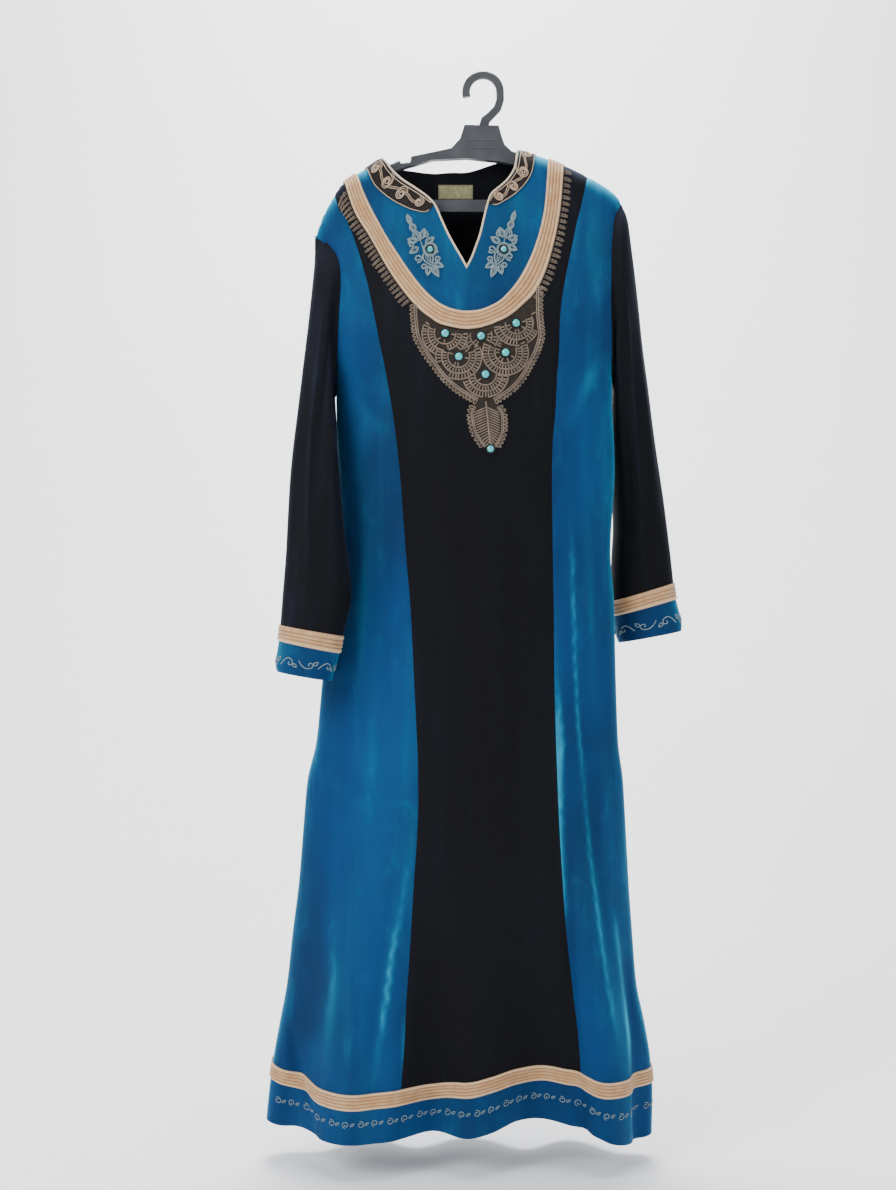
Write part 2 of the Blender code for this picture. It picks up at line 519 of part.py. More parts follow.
def braid(name, at, out, lines, colour, closed=False, cords=CORDS, end_gap=SEAM):
    """A braid of parallel cords: three lines of panel points below, a row of rounded cords above."""
    stations = len(lines[0])
    base = HALF + PILE
    verts, faces = [], []
    across_low, across_high = 3, 2 * cords + 1
    for k in range(stations):
        three = [at[line[k]] for line in lines]
        ways = [out[line[k]] for line in lines]
        shift = Vector()
        if not closed and k in (0, stations - 1):
            near = 1 if k == 0 else stations - 2
            shift = (at[lines[1][near]] - three[1]).normalized() * end_gap / 2
        for p, n in zip(three, ways):
            verts.append(p + n * base + shift)
        for j in range(across_high):
            f = j / (across_high - 1) * 2
            i, t = min(int(f), 1), f - min(int(f), 1)
            n = (ways[i] * (1 - t) + ways[i + 1] * t).normalized()
            high = CORD_HIGH if j % 2 else CORD_LOW
            verts.append(three[i] * (1 - t) + three[i + 1] * t + n * (base + high) + shift)
    row = across_low + across_high
    pairs = range(stations if closed else stations - 1)
    for k in pairs:
        a, b = k * row, (k + 1) % stations * row
        for j in range(across_low - 1):
            faces.append((a + j, a + j + 1, b + j + 1, b + j))
        for j in range(across_high - 1):
            i = across_low + j
            faces.append((a + i, b + i, b + i + 1, a + i + 1))
        last = row - 1
        faces.append((a, b, b + across_low, a + across_low))
        faces.append((a + across_low - 1, a + last, b + last, b + across_low - 1))
    if not closed:
        for start in (0, (stations - 1) * row):
            end = [start + j for j in range(across_low)]
            faces.append(end + [start + row - 1 - j for j in range(across_high)])
    return collect(name, verts, faces, colour)


def side_columns(angle_step, z, shift):
    count = round(180 / angle_step)
    angles = [math.radians(-90 + (k + shift) * angle_step) for k in range(count + 1)]
    return [x_at(a, z) for a in angles if abs(a) < math.pi / 2 - 0.02]


def filling(side, steps):
    """Rows of loose points: close to the ridge, over the chest, down the skirt and through the hem folds."""
    rows = []
    for arc in RIDGE_STEPS:
        rows.append(([(x, arc) for x in np.arange(-0.232, 0.196, 0.016)], 0.006))
    if side == BACK:
        rows.append(([(x, 0.0005) for x in np.arange(-0.232, 0.0, 0.016)], 0.004))
    z, k = -0.20, 0
    while z > -1.43:
        deep = z < -0.98
        step = steps["lower" if deep else "upper"]
        spots = [(x, arc_of(x, z)) for x in side_columns(step, z, 0.5 * (k % 2)) if ridge(x) - z > 0.035]
        rows.append((spots, 0.007))
        z -= steps["low_row"] if deep else steps["row"] * (1 if z > -0.45 else 1.9)
        k += 1
    return rows


def hem_spot(x, side, up):
    """A spot of the hem or above it; the back hem is level but for small waves."""
    z = hem_z(x)
    band = hem_band(x)
    if side == BACK:
        share = (x - HEM[1][0][0]) / (HEM[1][-1][0] - HEM[1][0][0])
        wave = 0.004 * math.sin(share * math.pi * 4) * math.sin(share * math.pi)
        z = HEM[1][0][1] * (1 - share) + HEM[1][-1][1] * share + wave
        band = HEM[1][0][2] * (1 - share) + HEM[1][-1][2] * share
    return z + (0 if up is None else band + up)


def level_line(side, up, count):
    """A line across the sheet at a height over the hem, the same share of the width at each station."""
    spots = []
    for k in range(count + 1):
        angle = math.radians(-90 + 180 * k / count)
        x, z = 0.0, -1.45
        for _ in range(6):
            x = x_at(angle, z)
            z = hem_spot(x, side, up)
        spots.append((x, arc_of(x, z)))
    return spots


def side_line(side_edge, top, bottom_z):
    edge = edge_left if side_edge == "left" else edge_right
    count = max(2, round((top - bottom_z) / SIDE_STEP))
    spots = []
    for k in range(count + 1):
        z = top + (bottom_z - top) * k / count
        spots.append((edge(z), arc_of(edge(z), z)))
    return spots


def princess_line(side_edge, upper, start, low_up):
    """A princess seam from the shoulder to the hem braid, through its own points and the body's table."""
    curve = seam_left if side_edge == "left" else seam_right
    spots = over_ridge(start, spots_of(upper)[0]) + spots_of(upper)
    z = -0.475
    stop = hem_spot(curve(1.4), FRONT, low_up) + 0.03
    while z > stop:
        spots.append((curve(-z), arc_of(curve(-z), z)))
        z -= SEAM_STEP
    return spots


def over_ridge(start, first):
    """The start of a line on the shoulder, with steps down the rounding towards its first own point."""
    arcs = [start[1]] + [arc for arc in RIDGE_STEPS if start[1] + 0.004 < arc < first[1] - 0.004]
    return [(start[0] + (first[0] - start[0]) * (arc - start[1]) / (first[1] - start[1]), arc) for arc in arcs]


def nearest(spots, x):
    return min(range(len(spots)), key=lambda k: abs(spots[k][0] - x))


def build_sheet(side):
    """Lays out all seams of the front or the back and returns the sheet with its named lines."""
    sheet, lines = Sheet(side), {}
    front = side == FRONT
    steps = FRONT_MESH if front else BACK_MESH

    def shoulder(name):
        return on_shoulder(name, side)

    left_names = ["left tip", "left princess", "left braid outer", "left braid middle", "left braid inner",
                  "left collar", "left neck"]
    right_names = ["right neck", "right collar", "right braid inner", "right braid middle",
                   "right braid outer", "right princess", "right tip"]
    lines["shoulder_left"] = sheet.line(shoulder_run(left_names, shoulder))
    lines["shoulder_right"] = sheet.line(shoulder_run(right_names, shoulder))
    # Side seams, with the hem's heights among their points.
    count = steps["stations"]
    ups = {"hem": None, "braid_low": 0.0, "band": BRAID_WIDE / 2, "braid_top": BRAID_WIDE}
    for name, up in ups.items():
        lines[name] = sheet.line(level_line(side, up, count))
    for k in range(count + 1):
        sheet.line([sheet.spots[lines[n][k]] for n in ("braid_low", "band", "braid_top")])
    for edge, pick, under in (("left", 0, UNDERARM_LEFT), ("right", -1, UNDERARM_RIGHT)):
        top = sheet.spots[lines["braid_top"][pick]]
        spots = side_line(edge, under, z_of(*top))[:-1] + [top]
        lines["side_" + edge] = sheet.line(spots)
        ends = [sheet.spots[lines[n][pick]] for n in ("braid_top", "band", "braid_low", "hem")]
        lines["side_low_" + edge] = sheet.line(ends)
        arm = LEFT_ARMHOLE if edge == "left" else RIGHT_ARMHOLE
        tip = shoulder(edge + " tip")
        lines["armhole_" + edge] = sheet.line([tip] + spots_of(arm) + [spots[0]])
    # Princess seams end at a station of the braid.
    for edge, upper, curve in (("left", LEFT_PRINCESS, seam_left), ("right", RIGHT_PRINCESS, seam_right)):
        run = princess_line(edge, upper, shoulder(edge + " princess"), BRAID_WIDE)
        top_spots = [sheet.spots[i] for i in lines["braid_top"]]
        k = nearest(top_spots, curve(1.43))
        stops = [sheet.spots[lines[n][k]] for n in ("braid_top", "band")]
        lines["princess_" + edge] = sheet.line(run + stops)
        lines["station_" + edge] = k
    if front:
        front_lines(sheet, lines)
    else:
        spots = [shoulder("left neck")] + spots_of(BACK_NECK) + [shoulder("right neck")]
        lines["neck"] = sheet.line(spots)
    sheet.fill(filling(side, steps))
    sheet.mesh()
    return sheet, lines


def shoulder_run(names, shoulder):
    """The shoulder seam through the pieces that cross it, with points between where it runs long."""
    run = []
    for name in names:
        if name.endswith("middle"):
            a, b = (shoulder(name.replace("middle", n)) for n in ("outer", "inner"))
            spot = ((a[0] + b[0]) / 2, (a[1] + b[1]) / 2)
        else:
            spot = shoulder(name)
        if run and abs(spot[0] - run[-1][0]) > 0.020:
            parts = math.ceil(abs(spot[0] - run[-1][0]) / 0.014)
            last = run[-1]
            run += [(last[0] + (spot[0] - last[0]) * k / parts, spot[1]) for k in range(1, parts)]
        run.append(spot)
    return run


def front_lines(sheet, lines):
    """The neckline, collar bands and yoke braid of the front."""
    slit = (SLIT_END[0], arc_of(*SLIT_END))
    for edge, neck, collar in (("left", NECK_LEFT, COLLAR_LEFT), ("right", NECK_RIGHT, COLLAR_RIGHT)):
        start = on_shoulder(edge + " neck")
        spots = resample([start] + spots_of(neck) + [slit], 0.008, 0.032, 0.014)
        lines["neck_" + edge] = sheet.line(spots)
        near = nearest_spot(spots, spots_of(neck)[4])
        outer = resample([on_shoulder(edge + " collar")] + spots_of(collar) + [spots[near]], 0.008, 0.0, 0.010)
        lines["collar_" + edge] = sheet.line(outer)
        lines["collar_end_" + edge] = near
    inner = [on_shoulder("left braid inner")] + spots_of(BRAID_INNER) + [on_shoulder("right braid inner")]
    outer = [on_shoulder("left braid outer")] + spots_of(BRAID_OUTER) + [on_shoulder("right braid outer")]
    like = resample(inner, 0.008, 0.032, 0.018)
    three = strip_stations(inner, outer, like)
    for name, spots in zip(("yoke_inner", "yoke_line", "yoke_outer"), three):
        lines[name] = sheet.line(spots)
    for k in range(len(like)):
        sheet.line([three[0][k], three[1][k], three[2][k]])


def nearest_spot(spots, to):
    return min(range(len(spots)), key=lambda k: math.hypot(spots[k][0] - to[0], spots[k][1] - to[1]))


def between(line, first, last):
    """The part of a line of points from one of its points to another."""
    a, b = line.index(first), line.index(last)
    return line[a:b + 1] if a <= b else line[b:a + 1][::-1]


def body_panels(sheet, lines, names, colours, neck):
    """The three long panels of one side, and its hem band."""
    left, right = lines["shoulder_left"], lines["shoulder_right"]
    pl, pr = lines["princess_left"], lines["princess_right"]
    band, hem = lines["band"], lines["hem"]
    loops = {
        names[0]: between(left, left[0], pl[0]) + pl[1:] + between(band, pl[-1], band[0])[1:]
        + [lines["braid_top"][0]] + lines["side_left"][::-1][1:] + lines["armhole_left"][::-1][1:],
        names[2]: between(right, pr[0], right[-1]) + lines["armhole_right"][1:] + lines["side_right"][1:]
        + between(band, band[-1], pr[-1]) + pr[::-1][1:],
        names[1]: pl[::-1] + neck + between(right, neck[-1], pr[0])[1:] + pr[1:]
        + between(band, pr[-1], pl[-1])[1:],
        names[3]: band + [lines["braid_low"][-1]] + hem[::-1] + [lines["braid_low"][0]]}
    for name, colour in zip(names, colours):
        wall(name, sheet.inside(loops[name]), sheet.at, sheet.out, -HALF, HALF, colour)


def front_body():
    sheet, lines = build_sheet(FRONT)
    left, right = lines["shoulder_left"], lines["shoulder_right"]
    yoke_line = lines["yoke_line"]
    over = between(left, lines["princess_left"][0], yoke_line[0])[1:] + yoke_line[1:]
    body_panels(sheet, lines, ("front_side_left", "front_centre", "front_side_right", "hem_band_front"),
                ("blue_velvet", "black_velvet", "blue_velvet", "blue_velvet"), over)
    neck = lines["neck_left"] + lines["neck_right"][::-1][1:]
    loop = between(left, yoke_line[0], neck[0]) + neck[1:] + between(right, neck[-1], yoke_line[-1])[1:]
    wall("yoke", sheet.inside(loop + yoke_line[::-1][1:-1]), sheet.at, sheet.out, -HALF, HALF, "blue_velvet")
    base = HALF + PILE
    for edge in ("left", "right"):
        end = lines["collar_end_" + edge]
        shoulder = left if edge == "left" else right
        collar, edge_line = lines["collar_" + edge], lines["neck_" + edge]
        loop = collar + edge_line[:end][::-1] + between(shoulder, edge_line[0], collar[0])[1:-1]
        wall("collar_band_" + edge, sheet.inside(loop), sheet.at, sheet.out, base, base + TRIM_THICK,
             "collar_cloth")
    three = [lines[n] for n in ("yoke_inner", "yoke_line", "yoke_outer")]
    braid("yoke_braid", sheet.at, sheet.out, three, "peach_cord")
    three = [lines[n] for n in ("braid_top", "band", "braid_low")]
    braid("hem_braid_front", sheet.at, sheet.out, three, "peach_cord")
    piping(sheet, neck)
    return sheet, lines


def back_body():
    sheet, lines = build_sheet(BACK)
    left = lines["shoulder_left"]
    neck = between(left, lines["princess_left"][0], left[-1])[1:] + lines["neck"][1:]
    body_panels(sheet, lines, ("back_side_left", "back_centre", "back_side_right", "hem_band_back"),
                ("blue_velvet", "black_velvet", "blue_velvet", "blue_velvet"), neck)
    three = [lines[n] for n in ("braid_top", "band", "braid_low")]
    braid("hem_braid_back", sheet.at, sheet.out, three, "peach_cord")
    return sheet, lines


def piping(sheet, neck):
    """The round piping along the front neckline, just clear of the yoke's edge."""
    radius, sides = PIPING_R, PIPING_SIDES
    away = radius + SEAM * 1.5
    verts, faces = [], []
    for k, i in enumerate(neck):
        here, n = sheet.at[i], sheet.out[i]
        ways = []
        for a, b in ((k - 1, k), (k, k + 1)):
            if 0 <= a and b < len(neck):
                edge = (sheet.at[neck[b]] - sheet.at[neck[a]]).normalized()
                ways.append(n.cross(edge).normalized())
        mean = sum(ways, Vector()).normalized()
        reach = 1 / max(mean.dot(ways[0]), 0.42)
        for j in range(sides):
            angle = 2 * math.pi * (j + 0.5) / sides
            place = here + mean * (away + radius * math.cos(angle)) * reach + n * radius * math.sin(angle)
            if k in (0, len(neck) - 1):
                near = sheet.at[neck[1 if k == 0 else -2]]
                place += (near - here).normalized() * 0.0006
            verts.append(place)
    for k in range(len(neck) - 1):
        for j in range(sides):
            a, b = k * sides + j, k * sides + (j + 1) % sides
            faces.append((a, b, b + sides, a + sides))
    faces.append(list(range(sides))[::-1])
    faces.append([len(verts) - sides + j for j in range(sides)])
    collect("neck_piping", verts, faces, "cream_piping")


def flat_patch(name, sheet, outline, colour, low, thick, fill=0.012, raised=()):
    """A thin piece on the sheet: its outline is given in x and z, and it follows the sheet's facets."""
    ring = [Vector(p) for p in outline]
    count = len(ring)
    xs, zs = [p.x for p in ring], [p.y for p in ring]
    spots = list(ring)

    def clear(p, by):
        for k in range(count):
            a, b = ring[k], ring[(k + 1) % count]
            t = min(max((p - a).dot(b - a) / max((b - a).length_squared, 1e-12), 0), 1)
            if (p - a - (b - a) * t).length < by:
                return False
        return True

    for x, z, _ in raised:
        spots.append(Vector((x, z)))
    for i, x in enumerate(np.arange(min(xs), max(xs), fill)):
        for z in np.arange(min(zs) + (i % 2) * fill / 2, max(zs), fill):
            away = min((math.hypot(x - rx, z - rz) for rx, rz, _ in raised), default=1.0)
            if away > fill * 0.5 and clear(Vector((x, z)), fill * 0.4):
                spots.append(Vector((x, z)))
    edges = [(k, (k + 1) % count) for k in range(count)]
    verts, _, faces, origins, _, _ = delaunay_2d_cdt(spots, edges, [], 1, 1e-7)
    bottom = [sheet.facet(v.x, v.y, low) for v in verts]
    extra = {count + k: high for k, (_, _, high) in enumerate(raised)}
    top = [sheet.facet(v.x, v.y, low + thick + extra.get(o[0], 0.0)) for v, o in zip(verts, origins)]
    triangles = [tuple(f) for f in faces]
    used = sorted({i for t in triangles for i in t})
    order = {i: k for k, i in enumerate(used)}
    n = len(used)
    points = [bottom[i] for i in used] + [top[i] for i in used]
    solid = [(order[c], order[b], order[a]) for a, b, c in triangles]
    solid += [(order[a] + n, order[b] + n, order[c] + n) for a, b, c in triangles]
    solid += [(order[a], order[b], order[b] + n, order[a] + n) for a, b, _ in rim(triangles)]
    return collect(name, points, solid, colour)


def tick_comb(name, sheet, lines, sign):
    """A narrow strip just outside the yoke braid that carries a row of slanted ticks."""
    outer = [sheet.spots[i] for i in lines["yoke_outer"]]
    spots = [(x, z_of(x, arc)) for x, arc in outer]
    bottom = min(range(len(spots)), key=lambda k: spots[k][1])
    run = spots[:bottom + 1] if sign < 0 else spots[bottom:][::-1]
    run = [Vector(p) for p in run]
    size = [0.0]
    for a, b in zip(run, run[1:]):
        size.append(size[-1] + (b - a).length)
    curve = [Curve((("s", "v"), [(s, p[k]) for s, p in zip(size, run)]), "v", "s") for k in (0, 1)]

    def at(s, off):
        here = Vector((curve[0](s), curve[1](s)))
        before, after = (Vector((curve[0](t), curve[1](t))) for t in (s - 0.002, s + 0.002))
        way = (after - before).normalized()
        return here + Vector((-way.y, way.x)) * off * (-1 if sign < 0 else 1)

    half, strip, reach, slant = TICKS["half"], TICKS["strip"], TICKS["reach"], TICKS["slant"]
    inner, outline = [], []
    for s in np.arange(TICKS["first"], TICKS["left_end" if sign < 0 else "right_end"], TICKS["pitch"]):
        inner.append(at(s, TICKS["near"]))
        outline += [at(s - half, strip), at(s - half - slant, reach), at(s + half - slant, reach),
                    at(s + half, strip)]
    loop = outline + inner[::-1]
    flat_patch(name, sheet, [tuple(p) for p in loop], "brown_braid", HALF + PILE, TRIM_THICK, fill=0.5)


def lean(drop):
    return BIB_TOP[0] + BIB_LEAN * drop


def pendant(sheet):
    """The pendant applique: a scalloped bib with a leaf below it, ribbed in arcs round its beads."""
    half_bib, half_leaf = Curve(BIB, "half", "drop"), Curve(LEAF, "half", "drop")
    right, left = [], []
    for rows, curve in ((BIB, half_bib), (LEAF, half_leaf)):
        drops = [row[0] for row in rows[1]]
        count = (len(drops) - 1) * PICOTS
        for k in range(count + 1):
            drop = drops[0] + (drops[-1] - drops[0]) * k / count
            half = curve(drop) + (0.0012 if k % 2 else -0.0012)
            right.append((lean(drop) + half, BIB_TOP[1] - drop))
            left.append((lean(drop) - half, BIB_TOP[1] - drop))
    tip = (lean(PENDANT_TIP), BIB_TOP[1] - PENDANT_TIP)
    top = []
    for k in range(1, 8):
        x = left[0][0] + (right[0][0] - left[0][0]) * k / 8
        top.append((x, yoke_low(x) - PENDANT_CLEAR))
    left[0] = (left[0][0], min(left[0][1], yoke_low(left[0][0]) - PENDANT_CLEAR))
    outline = top + right + [tip] + left[::-1]
    raised = []
    for x, z, radius in BEADS[1][:FIRST_YOKE_BEAD]:
        for reach, count, high in FAN_RINGS:
            for k in range(count):
                angle = 2 * math.pi * (k + 0.5) / count
                spot = (x + reach * math.cos(angle), z + reach * math.sin(angle))
                others = [row for row in raised if math.hypot(row[0] - spot[0], row[1] - spot[1]) < 0.0042]
                if not others and within(outline, spot, 0.0030):
                    raised.append((*spot, high))
    flat_patch("pendant_applique", sheet, outline, "brown_braid", HALF + PILE, TRIM_THICK, fill=0.011,
               raised=raised)


def within(outline, spot, clear):
    """True where a spot lies inside a closed outline and clear of its edge."""
    inside, (px, py) = False, spot
    for (x0, y0), (x1, y1) in zip(outline, outline[1:] + outline[:1]):
        if (y0 > py) != (y1 > py) and px < x0 + (py - y0) * (x1 - x0) / (y1 - y0):
            inside = not inside
        length = (x1 - x0) ** 2 + (y1 - y0) ** 2
        t = min(max(((px - x0) * (x1 - x0) + (py - y0) * (y1 - y0)) / max(length, 1e-12), 0), 1)
        if math.hypot(px - x0 - t * (x1 - x0), py - y0 - t * (y1 - y0)) < clear:
            return False
    return inside


def yoke_low(x):
    """The height of the yoke braid's outer edge at x, near its bottom."""
    spots = sorted((sx, z_of(sx, arc)) for sx, arc in YOKE_OUTER_SPOTS)
    xs, zs = [s[0] for s in spots], [s[1] for s in spots]
    return float(np.interp(x, xs, zs))


def bead(name, sheet, x, z, radius, lift):
    """A low domed bead on its setting."""
    centre = sheet.facet(x, z, lift)
    out = (sheet.facet(x, z, lift + 0.01) - centre).normalized()
    right = Vector((0, 0, 1)).cross(out).normalized() * -1
    up = out.cross(right)
    sides, verts, faces = BEAD_SIDES, [], []
    for share, high in BEAD_PROFILE:
        for k in range(sides):
            a = 2 * math.pi * k / sides
            verts.append(centre + (right * math.cos(a) + up * math.sin(a)) * radius * share + out * high)
    for j in range(len(BEAD_PROFILE) - 1):
        for k in range(sides):
            a, b = j * sides + k, j * sides + (k + 1) % sides
            faces.append((a, b, b + sides, a + sides))
    faces += [list(range(sides))[::-1], [len(verts) - sides + k for k in range(sides)]]
    collect(name, verts, faces, "turquoise")


def motif(name, sheet, centre, turn, flip):
    """A small arabesque of the yoke: a stem with leaf-shaped lobes, as one flat piece."""
    rows = MOTIF_SHAPE[1]
    points = [(half, up) for up, half in rows] + [(-half * 0.85, up + 0.002) for up, half in rows[::-1]]
    cos, sin = math.cos(turn), math.sin(turn)
    outline = [(centre[0] + flip * (x * cos - y * sin), centre[1] + x * sin + y * cos) for x, y in points]
    flat_patch(name, sheet, outline, "silver_thread", HALF + PILE, MOTIF_THICK, fill=0.018)


def label(sheet):
    """The bare woven label inside the back of the neck."""
    cols, verts = 4, []
    for low in (-HALF - PILE - LABEL["thick"], -HALF - PILE):
        for row in (-0.5, 0.5):
            for k in range(cols + 1):
                x = LABEL["x"] + LABEL["wide"] * (k / cols - 0.5)
                verts.append(sheet.facet(x, LABEL["z"] + LABEL["high"] * row, low))
    n, faces = cols + 1, []
    for k in range(cols):
        faces += [(k, k + 1, n + k + 1, n + k), (2 * n + k, 3 * n + k, 3 * n + k + 1, 2 * n + k + 1),
                  (k, 2 * n + k, 2 * n + k + 1, k + 1), (n + k, n + k + 1, 3 * n + k + 1, 3 * n + k)]
    for k in (0, cols):
        faces.append((k, n + k, 3 * n + k, 2 * n + k))
    collect("neck_label", verts, faces, "label_cloth")


def sleeve(name, rings_table, front, front_seams, back, back_seams, edge):
    """A sleeve lofted from its armhole down to the cuff, with the cuff and the braid over their join."""
    forward = front_seams["armhole_" + edge]
    rear = back_seams["armhole_" + edge]
    steps = ARM_POINTS
    outward = 1 if edge == "right" else -1
    # The armhole: from the shoulder tip down the front to the underarm, and up the back.
    hole = [(front.at[i], front.out[i]) for i in forward]
    hole += [(back.at[i], back.out[i]) for i in rear[::-1][1:-1]]
    count = 2 * steps
    if len(hole) != count:
        raise ValueError(f"the armhole has {len(hole)} points and needs {count}")

    def oval(row):
        outer_x, outer_z, inner_x, inner_z, inner_y, mid_y, half = row
        outer, inner = Vector((outer_x, mid_y, outer_z)), Vector((inner_x, inner_y, inner_z))
        middle, reach = (outer + inner) / 2, (outer - inner) / 2
        ring = []
        for k in range(count):
            a = 2 * math.pi * k / count
            cos, sin = math.cos(a), math.sin(a)
            full = math.copysign(abs(sin) ** 0.85, sin)
            bow = Vector((0, mid_y - middle.y, 0)) * (1 - cos * cos)
            ring.append(middle + reach * cos + bow + Vector((0, -half * full, 0)))
        return ring

    top, bottom = hole[0][0], hole[steps][0]
    start = []
    for k in range(count):
        a = 2 * math.pi * k / count
        start.append((top + bottom) / 2 + (top - bottom) / 2 * math.cos(a))
    rings = []
    for k, row in enumerate(rings_table[1]):
        fade = max(0.0, 1 - (k + 1) / 5) ** 1.5
        ring = oval(row)
        bulge = [Vector((hole[j][0].x - start[j].x, 0, hole[j][0].z - start[j].z)) for j in range(count)]
        rings.append([p + b * fade for p, b in zip(ring, bulge)])
    first = []
    for j, (p, n) in enumerate(hole):
        before, after = hole[j - 1][0], hole[(j + 1) % count][0]
        away = (after - before).cross(n).normalized()
        if away.dot(Vector((outward, 0, 0))) < 0 and abs(away.x) > 0.3:
            away = -away
        if abs(away.x) <= 0.3 and away.z < 0:
            away = -away
        way = (rings[0][j] - p).normalized()
        back_over = ease((0.35 - way.dot(away)) / 0.5)
        first.append(p + away * SLEEVE_CLEAR + n * SLEEVE_TURN * back_over)
    rings.insert(0, first)
    at = [p for ring in rings for p in ring]
    out = loft_normals(rings, outward)
    bands = ((name, 0, CUFF_RING, "black_velvet"), ("cuff_" + edge, CUFF_RING, len(rings) - 1, "blue_velvet"))
    for piece, low, high, colour in bands:
        triangles = []
        for r in range(low, high):
            for j in range(count):
                a, b = r * count + j, r * count + (j + 1) % count
                triangles += [(a, b, b + count), (a, b + count, a + count)]
        wall(piece, triangles, at, out, -HALF, HALF, colour)
    lines = [[r * count + j for j in range(count)] for r in (BRAID_TOP_RING, CUFF_RING, BRAID_LOW_RING)]
    braid("cuff_braid_" + edge, at, out, lines, "peach_cord", closed=True, cords=CUFF_CORDS)


def loft_normals(rings, outward):
    count, out = len(rings[0]), []
    for r, ring in enumerate(rings):
        low, high = rings[max(r - 1, 0)], rings[min(r + 1, len(rings) - 1)]
        middle = sum(ring, Vector()) / count
        for j in range(count):
            n = (ring[(j + 1) % count] - ring[j - 1]).cross(high[j] - low[j]).normalized()
            out.append(n)
        facing = sum(out[r * count + j].dot(ring[j] - middle) for j in range(count))
        if facing < 0:
            out[r * count:] = [-n for n in out[r * count:]]
    return out


def prism(outline, thick):
    """A plate of the given outline in x and z, as a mesh of its own."""
    n = len(outline)
    verts = [(x, -thick / 2, z) for x, z in outline] + [(x, thick / 2, z) for x, z in outline]
    faces = [list(range(n)), list(range(n, 2 * n))[::-1]]
    faces += [(k, (k + 1) % n, (k + 1) % n + n, k + n) for k in range(n)]
    return verts, faces


def arm(table):
    """One arm: a rib with chamfered edges between its top and its low line."""
    names, rows = table
    verts, faces, sides = [], [], 8
    for x, top, low in rows:
        half, cut = ARM_THICK / 2, ARM_CHAMFER
        for y, z in ((-half + cut, top), (half - cut, top), (half, top - cut), (half, low + cut),
                     (half - cut, low), (-half + cut, low), (-half, low + cut), (-half, top - cut)):
            verts.append((x, y, z))
    for k in range(len(rows) - 1):
        for j in range(sides):
            a, b = k * sides + j, k * sides + (j + 1) % sides
            faces.append((a, b, b + sides, a + sides))
    faces += [list(range(sides))[::-1], [len(verts) - sides + j for j in range(sides)]]
    return verts, faces


def hook():
    """The hook: a flat bar with chamfered edges, swept round and down into the neck plate."""
    path = []
    for k in range(HOOK_STEPS + 1):
        a = math.radians(HOOK_START) * (1 - k / HOOK_STEPS)
        path.append((HOOK_R * math.cos(a), HOOK_LEG[1][0][1] + HOOK_R * math.sin(a)))
    path += HOOK_LEG[1][1:]
    verts, faces, sides = [], [], 8
    for k, here in enumerate(path):
        a, b = Vector(path[max(k - 1, 0)]), Vector(path[min(k + 1, len(path) - 1)])
        way = (b - a).normalized()
        across_way = Vector((-way.y, way.x))
        grow = 1.0 + 0.35 * ease((k - len(path) + 3) / 2)
        w, t, cut = HOOK_WIDE / 2 * grow, HOOK_THICK / 2, HOOK_CHAMFER
        for u, y in ((w, t - cut), (w - cut, t), (-w + cut, t), (-w, t - cut),
                     (-w, -t + cut), (-w + cut, -t), (w - cut, -t), (w, -t + cut)):
            verts.append((here[0] + across_way.x * u, y, here[1] + across_way.y * u))
    for k in range(len(path) - 1):
        for j in range(sides):
            a, b = k * sides + j, k * sides + (j + 1) % sides
            faces.append((a, b, b + sides, a + sides))
    faces += [list(range(sides))[::-1], [len(verts) - sides + j for j in range(sides)]]
    return verts, faces


def hanger():
    """The hanger: hook, neck plate, two arms and the bar, joined into one moulding."""
    bar_box = [(BAR["left"], BAR["low"]), (BAR["right"], BAR["low"]), (BAR["right"], BAR["top"]),
               (BAR["left"], BAR["top"])]
    parts = [prism(PLATE[1][::-1], PLATE_THICK), hook(), arm(LEFT_ARM), arm(RIGHT_ARM),
             prism(bar_box, BAR["thick"])]
    objects = [collect("hanger" if k == 0 else f"hanger_part_{k}", v, f, "black_plastic")
               for k, (v, f) in enumerate(parts)]
    whole = objects[0]
    for other in objects[1:]:
        join = whole.modifiers.new("join", "BOOLEAN")
        join.operation, join.solver, join.object = "UNION", "EXACT", other
        other.hide_render, other.display_type = True, "WIRE"


def clear_scene():
    for obj in list(bpy.data.objects):
        bpy.data.objects.remove(obj)


clear_scene()
front_sheet, front_named = front_body()
YOKE_OUTER_SPOTS = [front_sheet.spots[i] for i in front_named["yoke_outer"]]
back_sheet, back_named = back_body()
tick_comb("tick_trim_left", front_sheet, front_named, -1)
tick_comb("tick_trim_right", front_sheet, front_named, 1)
pendant(front_sheet)
for number, (bead_x, bead_z, bead_radius) in enumerate(BEADS[1]):
    seat = BEAD_LIFT["pendant" if number < FIRST_YOKE_BEAD else "yoke"]
    bead(f"bead_{number + 1}", front_sheet, bead_x, bead_z, bead_radius, HALF + PILE + seat)
motif("yoke_motif_left", front_sheet, MOTIF_LEFT, MOTIF_LEAN, 1)
motif("yoke_motif_right", front_sheet, MOTIF_RIGHT, MOTIF_LEAN, -1)
label(back_sheet)
sleeve("sleeve_left", LEFT_SLEEVE, front_sheet, front_named, back_sheet, back_named, "left")
sleeve("sleeve_right", RIGHT_SLEEVE, front_sheet, front_named, back_sheet, back_named, "right")
hanger()
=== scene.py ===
import math
import random

import bmesh
import bpy
import numpy as np
from bpy.props import FloatProperty, FloatVectorProperty, IntProperty, PointerProperty
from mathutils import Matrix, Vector, noise
from mathutils.geometry import delaunay_2d_cdt


